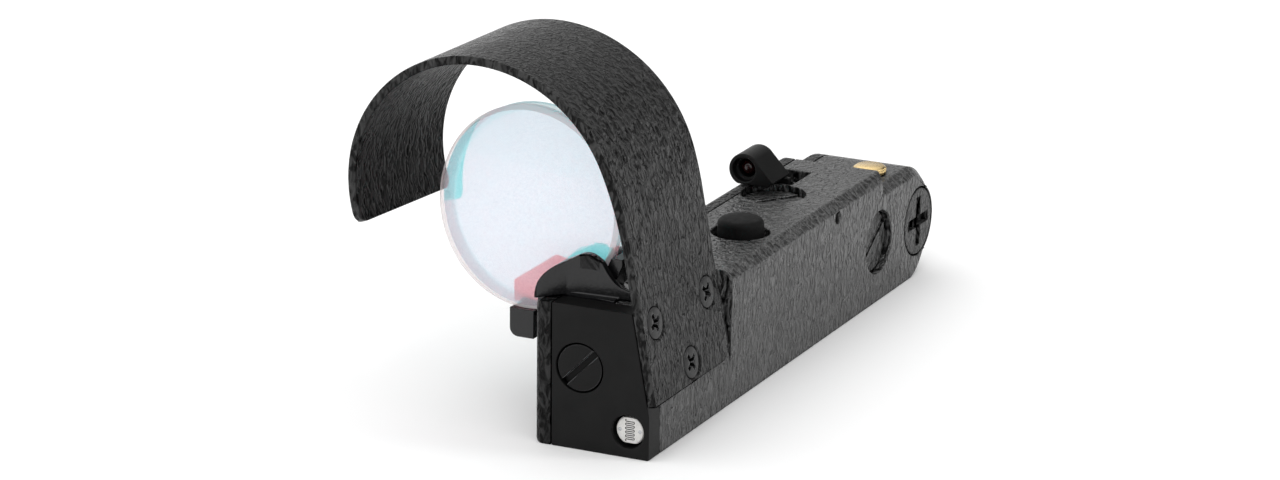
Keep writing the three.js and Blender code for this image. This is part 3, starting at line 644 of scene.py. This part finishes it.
def housing():
    body = skin("case_body", [
        case_slice(SEAM, CASE_FRONT),
        case_slice(RIGHT - CHAMFER, CASE_FRONT),
        case_slice(RIGHT, CASE_FRONT, CHAMFER, True),
    ])
    boss = rod("x", CAP[0], CAP[1], CAP[2] + 0.3, 0, RIGHT, 96)
    joined(body, boss)
    bays = [block(SEAM - 1, *bay) for bay in BAYS]
    trimmer_end, sensor_end = -48.8, -37
    carved(
        body,
        leaning_cut(PAD_SEAT, FRONT - 20, PAD_END),
        block(SEAM - 1, NOTCH_X, FRONT - 20, NOTCH_END, NOTCH_Z, ABOVE),
        *bays,
        rod("y", TRIMMER[0], TRIMMER[1], TRIMMER_ROOM, FRONT, trimmer_end),
        rod("y", SENSOR[0], SENSOR[1], SENSOR_BORE, FRONT, sensor_end),
        rod("z", BUTTON[0], BUTTON[1], BUTTON[2], BUTTON_FLOOR, ABOVE),
        rod("z", BUTTON[0], BUTTON[1], BUTTON_BORE, HOLES_END, ABOVE),
        rod("z", ELEVATION[0], ELEVATION[1], ELEVATION[2], ELEVATION_FLOOR, ABOVE),
        rod("z", ELEVATION[0], ELEVATION[1], SHANK_BORE, HOLES_END, ABOVE),
        rod("x", WINDAGE[0], WINDAGE[1], WINDAGE[2], RIGHT - DIAL_SEAT, BESIDE),
        rod("x", WINDAGE[0], WINDAGE[1], SHANK_BORE, WINDAGE_END, BESIDE),
        rod("x", *LOCK_HOLE, 0, BESIDE, 32),
        block(*SLOT_X, *SLOT_Y, HOLES_END, ABOVE),
        rod("x", CAP[0], CAP[1], CAP[2], RIGHT - DIAL_SEAT, BESIDE, 96),
        rod("x", CAP[0], CAP[1], CELL_BORE, SEAM - 1, BESIDE, 96),
        rod("z", SCREW[0], SCREW[1], SHANK_BORE, BELOW, ABOVE, 48),
    )
    soften(body, 0.22)
    place(body, "case", "wrinkle_paint", PAINT_CASE, "housing")


def side_plate():
    rounding, steps = 1.3, 5
    loops = []
    for i in range(steps + 1):
        a = math.pi / 2 * i / steps
        inset = rounding * (1 - math.sin(a))
        loops.append(case_slice(LEFT + rounding * (1 - math.cos(a)), FRONT + inset, inset))
    loops.append(case_slice(PLATE_HIGH.x, FRONT))
    plate = skin("left_side_plate", loops)
    tools = [
        block(LEFT - 1, BESIDE, CASE_FRONT - 0.1, NOTCH_END, NOTCH_Z, ABOVE),
        rod("z", ELEVATION[0], ELEVATION[1], ELEVATION[2], ELEVATION_FLOOR, ABOVE),
    ]
    for y, z, _ in PLATE_SCREWS:
        sink = turned("sink", ((1.35, 12), (1.35, 1.15), (2.55, -0.16), (2.55, -5)), "x", (y, z), 48)
        tools.append(moved(sink, Matrix.Translation((LEFT, 0, 0))))
    carved(plate, *tools)
    soften(plate, 0.15, segments=2)
    place(plate, "case", "wrinkle_paint", PAINT_PLATE, "side_plate")


def front_plate():
    left = FRONT_LOW.x
    meet = HOOD_FOOT[1] + (pad_x(HOOD_FOOT[1], PAD_SEAT) - RIGHT) / math.tan(HOOD_LEAN)
    outline = (
        (left, 0),
        (RIGHT, 0),
        (RIGHT, meet),
        (pad_x(FRONT_TOP, PAD_SEAT), FRONT_TOP),
        (left, FRONT_TOP),
    )
    plate = prism("end_plate", outline, "y", FRONT, FRONT_BACK)
    outside, through = FRONT - 1, FRONT + 9
    trimmer_seat, sensor_seat = FRONT + 2.6, FRONT + 3
    carved(
        plate,
        rod("y", TRIMMER[0], TRIMMER[1], TRIMMER[2], outside, trimmer_seat, 96),
        rod("y", TRIMMER[0], TRIMMER[1], TRIMMER_BORE, outside, through),
        rod("y", SENSOR[0], SENSOR[1], SENSOR[2] + 0.1, outside, sensor_seat),
        rod("y", SENSOR[0], SENSOR[1], SENSOR_BORE, outside, through),
    )
    soften(plate, 0.22)
    place(plate, "case", "satin_black", SATIN_FRONT, "front_plate")


# ---- Hood ----
def hood_point(edge, t, depth):
    """X, Z on one edge of the hood: t counts its run and its bends, each 1 long; depth is inwards."""
    x, z = HOOD_FOOT
    heading = math.pi / 2 + HOOD_LEAN
    run, bends = edge
    share = min(t, 1.0)
    x += share * run * math.cos(heading)
    z += share * run * math.sin(heading)
    for k, (radius, angle) in enumerate(bends):
        share = min(max(t - 1 - k, 0.0), 1.0)
        turned_to = heading + share * math.radians(angle)
        x += radius * (math.sin(turned_to) - math.sin(heading))
        z -= radius * (math.cos(turned_to) - math.cos(heading))
        heading = turned_to
    return x - depth * math.sin(heading), z + depth * math.cos(heading)


def fillet(distance, radius):
    """How far a rounded corner draws in at a distance from the strip's end."""
    reach = max(radius - distance, 0.0)
    return radius - math.sqrt(radius * radius - reach * reach)


def shade_inside(strip):
    """Gives the faces that look towards the lens, beyond the pad on the case, a darker and duller copy of
    the hood's paint: painted shade.
    """
    strip.data.materials.append(SHADED_INSIDE_PAINT)
    middle = Vector((LENS_AT.x, 0, LENS_AT.z)) * MM
    left_of_pad, least_facing = -10 * MM, 0.3
    for face in strip.data.polygons:
        inward = middle - face.center
        inward.y = 0
        beyond_pad = face.center.x < left_of_pad or face.center.z > TOP * MM
        if beyond_pad and face.normal.dot(inward.normalized()) > least_facing:
            face.material_index = 1


def hood():
    """A strip that rises from its pad and bends round the lens. Three of its corners are rounded."""
    foot_round, free_round = 3.2, 2.0
    run, bends = HOOD_BACK
    last_radius, last_angle = bends[-1]
    tail = last_radius * math.radians(last_angle)
    end = 1 + len(bends)
    near = [1 - math.cos(math.pi / 2 * i / 8) for i in range(9)]
    stations = [foot_round * n / run for n in near]
    stations += [0.35, 0.6, 0.8, 1.0]
    for k, steps in enumerate((10, 30, 44)):
        stations += [1 + k + (i + 1) / steps for i in range(steps)]
    stations = [t for t in stations if t < end - free_round / tail]
    stations += [end - free_round * n / tail for n in reversed(near)]
    loops = []
    for t in stations:
        foot = run * t if t < 1 else foot_round
        free = (end - t) * tail if t > end - 1 else free_round
        front_in = fillet(free, free_round)
        back_in = front_in + fillet(foot, foot_round)
        corners = (
            (front_in, 0),
            (HOOD_WIDTH - back_in, 0),
            (HOOD_WIDTH - back_in, HOOD_THICK),
            (front_in, HOOD_THICK),
        )
        loop = []
        for edge_in, depth in corners:
            share = edge_in / HOOD_WIDTH
            x0, z0 = hood_point(HOOD_FRONT, t, depth)
            x1, z1 = hood_point(HOOD_BACK, t, depth)
            loop.append((x0 + share * (x1 - x0), FRONT + edge_in, z0 + share * (z1 - z0)))
        loops.append(loop)
    strip = skin("bent_hood", loops)
    sinks = []
    for y, z, _ in PAD_SCREWS:
        sinks.append(on_pad(turned("sink", ((1.7, -8), (1.7, -1.25), (2.95, 0), (2.95, 4))), y, z))
    carved(strip, *sinks)
    soften(strip, 0.24)
    place(strip, "case", "wrinkle_paint", PAINT_HOOD, "hood")
    shade_inside(strip)


# ---- Fasteners ----
def cross_screw(name, head_r, shank_r, length, turn):
    """A countersunk screw along Z, its head's face at the origin, with a tapered cross recess."""
    cone = head_r - shank_r
    head = turned(name, (
        (shank_r * 0.8, -length),
        (shank_r, -length + 0.3),
        (shank_r, -cone - 0.15),
        (head_r, -0.15),
        (head_r - 0.12, 0),
        (head_r * 0.5, 0.06),
    ))
    depth = head_r * 0.62
    arms = []
    for quarter in (0, 90):
        half, thin = head_r * 0.62, head_r * 0.15
        top = [(half, -thin), (half, thin), (-half, thin), (-half, -thin)]
        taper = ((0.42, 0.75, -depth), (1, 1, 0.05), (1.03, 1.03, 1))  # share of both sizes, Z
        loops = [[(u * s, v * w, z) for u, v in top] for s, w, z in taper]
        arms.append(moved(skin("arm", loops), Matrix.Rotation(math.radians(quarter), 4, "Z")))
    mouth = head_r * 0.27
    pocket = turned("pocket", ((head_r * 0.1, -depth * 1.15), (mouth, 0.05), (mouth, 1)), sides=24)
    carved(head, arms[0], arms[1], pocket)
    soften(head, 0.05, segments=2, angle=40)
    return moved(head, Matrix.Rotation(math.radians(turn), 4, "Z"))


def screws():
    for i, (y, z, turn) in enumerate(PAD_SCREWS, 1):
        screw = cross_screw(f"pad_screw_{i}", head_r=2.62, shank_r=1.45, length=5.6, turn=turn)
        moved(screw, Matrix.Translation((0, 0, -0.12)))
        place(on_pad(screw, y, z), "case", "black_screw", OXIDE, f"hood_screw_{i}")
    for i, (y, z, turn) in enumerate(PLATE_SCREWS, 1):
        screw = cross_screw(f"plate_screw_{i}", head_r=2.3, shank_r=1.15, length=7.6, turn=turn)
        aim = Matrix.Translation((LEFT + 0.25, y, z)) @ Matrix.Rotation(-math.pi / 2, 4, "Y")
        place(moved(screw, aim), "case", "black_screw", OXIDE, f"side_plate_screw_{i}")
    for i, (x, turn) in enumerate(HOLDER_SCREWS, 1):
        screw = cross_screw(f"saddle_screw_{i}", head_r=1.75, shank_r=0.95, length=8, turn=turn)
        moved(screw, Matrix.Translation((x, HOLDER_SCREW_Y, FRONT_TOP - 0.2)))
        place(screw, "case", "black_screw", OXIDE, f"holder_screw_{i}")


# ---- Lens and its holder ----
def at_lens(piece):
    return moved(piece, Matrix.Translation(LENS_AT) @ LENS_TURN)


def dome(r, edge, curve_radius):
    """Place along the lens's axis of a surface bowed forwards, at a radius, with its rim at edge."""
    return edge - (math.sqrt(curve_radius**2 - r * r) - math.sqrt(curve_radius**2 - LENS_R**2))


def lens_element(name, faces, materials, node):
    """A lens between two faces, each with its rim's place, the bevel at its rim and its curve."""
    rings = 20
    profile = []
    for back, (edge, bevel, curve_radius) in enumerate(faces):
        radii = [max(0.01, (LENS_R - bevel) * i / rings) for i in range(rings + 1)]
        rim = [(LENS_R, edge - bevel if back else edge + bevel)]
        bowl = [(r, dome(r, edge, curve_radius)) for r in radii]
        profile += rim + bowl[::-1] if back else bowl + rim
    element = turned(name, profile, "y", sides=160)
    element.data.polygons.foreach_set("use_smooth", [True] * len(element.data.polygons))
    for material in materials:
        element.data.materials.append(material)
    front_face, rim_face, back_face = range(3)
    for face in element.data.polygons:
        if abs(face.normal.y) > 0.85:
            face.material_index = front_face if face.normal.y < 0 else back_face
        else:
            face.material_index = rim_face
    element.data.set_sharp_from_angle(angle=math.radians(25))
    at_lens(element)
    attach(element, "case")
    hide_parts(node)


def lens():
    line = 0.02  # half of the cement line between the elements
    front = (0.0, 0.7, LENS_CURVE)
    back = (LENS_THICK, 0.4, LENS_CURVE)
    near = (LENS_SPLIT - line, 0.05, MIRROR_CURVE)
    far = (LENS_SPLIT + line, 0.05, MIRROR_CURVE)
    lens_element("front_lens", (front, near), (CLEAR, FRONT_RIM, CLEAR), "lens_front_element")
    lens_element("rear_lens", (far, back), (COAT, REAR_RIM, BACK_COAT), "lens_rear_element")


def lens_room(play, front_play):
    """The space that a holder leaves for the lens."""
    radius = LENS_R + play
    return at_lens(turned("room", ((radius, -front_play), (radius, LENS_THICK + play)), "y", sides=128))


def lens_holder():
    front, rear = -50.9, NOTCH_END - 0.1
    right, low = NOTCH_X - 0.1, NOTCH_Z + 0.1
    holder = block(LEFT - 0.2, right, front, rear, low, FRONT_TOP)
    holder.name = holder.data.name = "lens_saddle"
    collar = rod("y", LENS_AT.x, LENS_AT.z, LENS_R + 2.4, front, -44.2, 128)
    common(collar, block(-7, right, front - 1, rear, low, 30.2))
    cradle = block(-20.6, -13.9, -44.6, -29.6, 18.4, 22)
    corner = 1.5  # rounding of the foot's lower left edge
    foot_left, foot_right, foot_low, foot_top, foot_rear = -18.2, -13.8, 14.6, 20.4, -43.4
    foot = [(foot_right, foot_low), (foot_right, foot_top), (foot_left, foot_top)]
    foot += arc(foot_left + corner, foot_low + corner, corner, 180, 270, 8)
    bridge = block(foot_right - 0.2, LEFT - 0.15, -46.2, foot_rear, 16.9, foot_top)
    joined(holder, bridge, prism("foot", foot, "y", front, foot_rear), cradle, collar)
    window = rod("y", LENS_AT.x, LENS_AT.z, LENS_R - 2, front - 1, 0, 96)
    tools = [lens_room(LENS_PLAY, 6), window]
    for x, _ in HOLDER_SCREWS:
        profile = ((1.15, -20), (1.15, -0.85), (1.95, -0.05), (1.95, 5))
        sink = turned("sink", profile, "z", (x, HOLDER_SCREW_Y), 48)
        tools.append(moved(sink, Matrix.Translation((0, 0, FRONT_TOP))))
    carved(holder, *tools)
    soften(holder, 0.2)
    place(holder, "case", "gloss_black", GLOSS, "lens_holder")


def curve(start, control, end, steps=8):
    """Points on a quadratic curve, without its first."""
    points = []
    for i in range(1, steps + 1):
        t = i / steps
        points.append(tuple(
            (1 - t) ** 2 * a + 2 * t * (1 - t) * b + t * t * c for a, b, c in zip(start, control, end)
        ))
    return points


def lens_clamp():
    """A curved finger over the front left corner, with a tongue and a tail that reach down."""
    low, rear = FRONT_TOP + 0.1, -51.3
    left, right = -10.2, 5.4
    shoulder, peak, saddle = (-6.9, 29.6), (-4.7, 30.7), (-0.8, 29.8)
    finger = [(left, low), (left, 25.6)]
    finger += curve((left, 25.6), (-9.9, 28.4), shoulder)
    finger += [peak]
    finger += curve(peak, (-3.0, 31.6), saddle)
    finger += curve(saddle, (0.9, 26.6), (2.6, 26.0))
    finger += [(right, 25.2), (right, low)]
    clamp = prism("lens_finger", finger, "y", FRONT + 0.3, rear)
    # The front face draws back towards the right.
    slant = ((-10.6, -58.3), (-6.6, -54), (-4.6, -52.9), (6, -52.2), (6, -60), (-10.6, -60))
    carved(clamp, prism("slant", slant, "z", 20, 40))
    tongue = block(-9.8, NOTCH_X - 0.1, CASE_FRONT + 0.1, rear - 0.01, 18.2, low + 0.2)
    tail = block(-11.8, -9.7, CASE_FRONT + 0.12, rear - 0.02, 18.21, 24.8)
    joined(clamp, tongue, tail)
    groove = block(-4.4, -1.5, -55, -52.2, 28.8, 30.6)
    carved(clamp, lens_room(LENS_PLAY, LENS_PLAY), groove)
    soften(clamp, 0.28)
    place(clamp, "case", "gloss_black", GLOSS, "lens_clamp")


# ---- Front controls ----
def slotted_disc(name, radius, thick, slot_width, slot_depth, shank_r, shank_length):
    """A dial along Z, its face at the origin, with a screwdriver slot along X and a shank below."""
    disc = turned(name, (
        (shank_r, -thick - shank_length),
        (shank_r, -thick),
        (radius, -thick),
        (radius, -0.12),
        (radius - 0.12, 0),
        (radius * 0.4, 0.0),
    ), sides=128)
    reach = radius + 1
    carved(disc, block(-reach, reach, -slot_width / 2, slot_width / 2, -slot_depth, 1))
    return soften(disc, 0.07, segments=2)


def trimmer():
    disc = slotted_disc(
        "trimmer_face", TRIMMER[2] - PLAY,
        thick=2.2, slot_width=1.15, slot_depth=0.9, shank_r=1.25, shank_length=4.2,
    )
    aim = Matrix.Rotation(math.pi / 2, 4, "X") @ Matrix.Rotation(math.radians(45), 4, "Z")
    moved(disc, Matrix.Translation((TRIMMER[0], FRONT + 0.15, TRIMMER[1])) @ aim)
    place(disc, "trimmer", "satin_black", OXIDE_DISC, "trimmer_disc")


def ribbon(name, path, width, y0, y1):
    """A flat track of one width along points in X, Z."""
    loops = []
    for i, (x, z) in enumerate(path):
        ahead = Vector(path[min(i + 1, len(path) - 1)])
        behind = Vector(path[max(i - 1, 0)])
        run = (ahead - behind).normalized()
        u, v = -run.y * width / 2, run.x * width / 2
        loops.append([(x + u, y0, z + v), (x - u, y0, z - v), (x - u, y1, z - v), (x + u, y1, z + v)])
    return skin(name, loops)


def photoresistor():
    x, z, _ = SENSOR
    face = FRONT + 0.9
    radius = 2.45
    disc = turned("sensor_disc", (
        (radius - 0.15, face + 2.0),
        (radius, face + 1.85),
        (radius, face + 0.2),
        (radius - 0.2, face),
    ), "y", (x, z))
    # The disc is flat above and below.
    flat = 2.12
    common(disc, block(x - 3, x + 3, face - 1, face + 3, z - flat, z + flat))
    soften(disc, 0.08, segments=2)
    place(disc, "case", "ceramic", CERAMIC, "photoresistor")
    # The track snakes up the disc, its bends on the left and the right by turns.
    half, pitch, loops = 0.78, 0.33, 5
    bend = arc(half - pitch / 2, 0, pitch / 2, -90, 90, 6)
    path = []
    for i in range(2 * loops + 1):
        way = 1 if i % 2 else -1
        level = z + pitch * (i - loops)
        path += [(x + way * u, level + v) for u, v in bend]
    track = ribbon("sensor_track", path, 0.14, face - 0.03, face + 0.05)
    place(track, "case", "ceramic", TRACK)
    for side in (-1, 1):
        profile = ((0.3, face - 0.04), (0.34, face + 0.1))
        post = turned(f"sensor_post_{(side + 3) // 2}", profile, "y", (x + side * 1.75, z), 32)
        soften(post, 0.03, segments=2)
        place(post, "case", "plain_steel", STEEL)


# ---- Button ----
def button():
    x, y, _ = BUTTON
    r, stem_r, rounding = 3.9, 2.4, 1.0
    stem_foot, skirt, shoulder, top = 16.4, 21.9, 24.2, 25.32
    profile = [(stem_r, stem_foot), (stem_r, skirt), (r - 0.1, skirt), (r, skirt + 0.1)]
    profile += arc(r - rounding, shoulder, rounding, 0, 75, 8)
    profile += [(1.8, top - 0.03), (0.02, top)]
    cap = turned("button_cap", profile, "z", (x, y))
    cap.data.polygons.foreach_set("use_smooth", [True] * len(cap.data.polygons))
    cap.data.set_sharp_from_angle(angle=math.radians(40))
    place(cap, "button", "rubber", RUBBER, "button")


# ---- Adjusters ----
def elevation_disc():
    disc = slotted_disc(
        "elevation_dial", ELEVATION[2] - PLAY,
        thick=2.3, slot_width=1.2, slot_depth=0.9, shank_r=1.5, shank_length=10,
    )
    aim = Matrix.Rotation(math.radians(54), 4, "Z")
    moved(disc, Matrix.Translation((ELEVATION[0], ELEVATION[1], TOP - 1.1)) @ aim)
    place(disc, "elevation_screw", "black_screw", DIAL, "elevation_screw")


def windage_disc():
    disc = slotted_disc(
        "windage_dial", WINDAGE[2] - PLAY,
        thick=0.8, slot_width=1.3, slot_depth=0.5, shank_r=1.5, shank_length=11.5,
    )
    aim = Matrix.Rotation(math.pi / 2, 4, "Y") @ Matrix.Rotation(math.radians(-58), 4, "Z")
    moved(disc, Matrix.Translation((RIGHT - 1.2, WINDAGE[0], WINDAGE[1])) @ aim)
    place(disc, "windage_screw", "black_screw", DIAL, "windage_screw")


def emitter_arm():
    x, z, r = ARM
    lean = math.radians(ARM_TILT)
    low, corner = TOP + 0.5, 0.9
    edge = x + (r - (low + corner - z) * math.sin(lean)) / math.cos(lean)
    outline = arc(x, z, r, ARM_TILT, 245, 32)
    outline += [(x, low), (edge - corner, low), (edge, low + corner)]
    arm = prism("emitter_head", outline, "y", *ARM_Y)
    neck = block(-5.6, -2.1, SLOT_Y[0] + 0.65, ARM_Y[1] - 0.05, 15, low + 0.3)
    foot = block(-5.61, -2.11, SLOT_Y[0] + 0.66, 28.5, 14.5, 19.5)
    joined(arm, neck, foot)
    mouth = rod("y", x, z, 2.1, ARM_Y[0] - 1, ARM_Y[0] + 1.4)
    lamp_seat = rod("y", x, z, 1.6, ARM_Y[0] - 1, ARM_Y[1] - 1)
    carved(arm, mouth, lamp_seat)
    soften(arm, 0.22)
    place(arm, "windage_carriage", "satin_black", SATIN_PART, "emitter_arm")


def emitter():
    tip = ARM_Y[0] + 1.2
    back = ARM_Y[1] - 1.3
    r = 1.45
    quarter = [math.pi / 2 * i / 10 for i in range(11)]
    profile = [(max(0.02, r * math.sin(a)), tip + r - r * math.cos(a)) for a in quarter]
    profile.append((r, back))
    lamp = turned("emitter_lamp", profile, "y", (ARM[0], ARM[1]), 48)
    lamp.data.polygons.foreach_set("use_smooth", [True] * len(lamp.data.polygons))
    lamp.data.set_sharp_from_angle(angle=math.radians(50))
    place(lamp, "windage_carriage", "emitter", EMITTER, "led")


# ---- Battery cap and rear screw ----
def battery_cap():
    y, z, r = CAP
    face = RIGHT
    spigot, seal_groove = 5.7, 4.9
    cap = turned("cell_cap", (
        (spigot, face - 3.9),
        (spigot, face - 3.1),
        (seal_groove, face - 3.1),
        (seal_groove, face - 2.0),
        (r - 0.22, face - 2.0),
        (r - 0.22, face - 0.15),
        (r - 0.37, face),
    ), "x", (y, z), 128)
    long, wide = 8.9 / 2, 1.9 / 2
    carved(
        cap,
        block(face - 1.2, BESIDE, y - wide, y + wide, z - long, z + long),
        block(face - 1.19, BESIDE, y - long, y + long, z - wide, z + wide),
    )
    soften(cap, 0.08, segments=2)
    place(cap, "battery_cap", "satin_black", CAP_PAINT, "battery_cap")


def mount_screw():
    x, y, r = SCREW
    top = span("mount_screw")[1].z
    low = REAR_TOP + 0.2
    ridges, ridge_depth = 24, 0.18
    knob = turned("rear_knob", ((r, low), (r, top - 0.3)), "z", (x, y), 8 * ridges, (ridges, ridge_depth))
    dome_profile = ((r - 0.2, top - 0.35), (r - 0.25, top - 0.2), (r - 0.5, top), (0.3, top))
    crown = turned("crown", dome_profile, "z", (x, y), 96)
    shank = rod("z", x, y, 1.5, 0.6, REAR_TOP + 0.5, 48)
    joined(knob, crown, shank)
    soften(knob, 0.04, segments=1, angle=40)
    place(knob, "mount_screw", "brass", BRASS, "mount_screw")


# ---- CAD pieces that are shown as they are ----
def carry_over():
    looks = {
        STEEL: ("elevation_slide", "windage_slide", "guide_pin_1", "guide_pin_2", "elevation_spring",
                "windage_spring", "contact_spring", "battery_cell_1", "battery_cell_2",
                "front_plate_pin_1", "front_plate_pin_2"),
        BRASS: ("contact_strip",),
        RUBBER: ("elevation_seal", "windage_seal", "cap_seal"),
        PLASTIC: ("switch_body", "switch_plunger"),
        BOARD: ("circuit_board", "trimmer_body"),
        OXIDE: ("lock_screw",),
    }
    for material, nodes in looks.items():
        for node in nodes:
            materials = frame["nodes"][node].data.materials
            materials.clear()
            materials.append(material)


housing()
side_plate()
front_plate()
hood()
screws()
lens()
lens_holder()
lens_clamp()
trimmer()
photoresistor()
button()
elevation_disc()
windage_disc()
emitter_arm()
emitter()
battery_cap()
mount_screw()
carry_over()


# ---- Stage ----
def floor():
    """A pale floor much wider than the view, just under the part."""
    half, under, top = 6000, -2.0, -0.01
    plane = block(-half, half, -half, half, under, top)
    plane.name = "floor"
    look = Look("pale_floor", 0.9, specular=0.1)
    cloud = look.noise(0.004, detail=1.0)
    look.color(look.mix(look.remap(cloud, 0.3, 0.7, 0, 1), (0.93, 0.93, 0.93), (0.95, 0.95, 0.95)))
    plane.data.materials.append(look.material)


def world():
    """A studio that is bright in front and on the left, and dims towards the right rear."""
    dim, bright = 0.1, 1.1
    towards_bright = (-0.8, -0.6, 0)
    dimmest_at, brightest_at = -0.8, 0.0
    studio = bpy.data.worlds.new("studio")
    studio.use_nodes = True
    bpy.context.scene.world = studio
    nodes, links = studio.node_tree.nodes, studio.node_tree.links
    direction = nodes.new("ShaderNodeTexCoord")
    forward = nodes.new("ShaderNodeVectorMath")
    forward.operation = "DOT_PRODUCT"
    forward.inputs[1].default_value = towards_bright
    links.new(direction.outputs["Generated"], forward.inputs[0])
    spread = nodes.new("ShaderNodeMapRange")
    links.new(forward.outputs["Value"], spread.inputs[0])
    for socket, number in zip(spread.inputs[1:5], (dimmest_at, brightest_at, 0.0, 1.0)):
        socket.default_value = number
    ramp = nodes.new("ShaderNodeValToRGB")
    links.new(spread.outputs[0], ramp.inputs[0])
    ramp.color_ramp.elements[0].color = (dim, dim, dim, 1)
    ramp.color_ramp.elements[1].color = (bright, bright, bright, 1)
    links.new(ramp.outputs["Color"], nodes["Background"].inputs["Color"])
    nodes["Background"].inputs["Strength"].default_value = 1.0


def sun(name, towards, energy, angle):
    """A far light that stands in one direction, its disc as wide as the angle in degrees."""
    light = bpy.data.lights.new(name, "SUN")
    light.energy = energy
    light.angle = math.radians(angle)
    lamp = bpy.data.objects.new(name, light)
    lamp.rotation_mode = "QUATERNION"
    lamp.rotation_quaternion = Vector(towards).to_track_quat("Z", "Y")
    bpy.context.scene.collection.objects.link(lamp)


def camera():
    """The camera at the three-quarter view from the front right, a little above the part."""
    place_mm = Vector((326.87, -725.29, 267.05))
    azimuth, elevation, roll = (math.radians(a) for a in (25.52, 17.32, -0.58))
    focal_length = 139.6
    back = Vector((
        math.sin(azimuth) * math.cos(elevation),
        -math.cos(azimuth) * math.cos(elevation),
        math.sin(elevation),
    ))
    level_right = (-back).cross(Vector((0, 0, 1))).normalized()
    level_up = level_right.cross(-back)
    right = math.cos(roll) * level_right - math.sin(roll) * level_up
    up = math.sin(roll) * level_right + math.cos(roll) * level_up
    optics = bpy.data.cameras.new("view")
    optics.lens = focal_length
    optics.sensor_width = 36
    optics.clip_start = 0.01
    optics.clip_end = 50
    view = bpy.data.objects.new("view", optics)
    turn = Matrix((right, up, back)).transposed().to_4x4()
    view.matrix_world = Matrix.Translation(place_mm * MM) @ turn
    bpy.context.scene.collection.objects.link(view)
    bpy.context.scene.camera = view


floor()
world()
sun("overhead", (0, 0, 1), 1.0, 110)
sun("side_key", (0.9, 0.3, 0.4), 0.8, 16)
camera()
bpy.context.scene.view_settings.view_transform = "Standard"
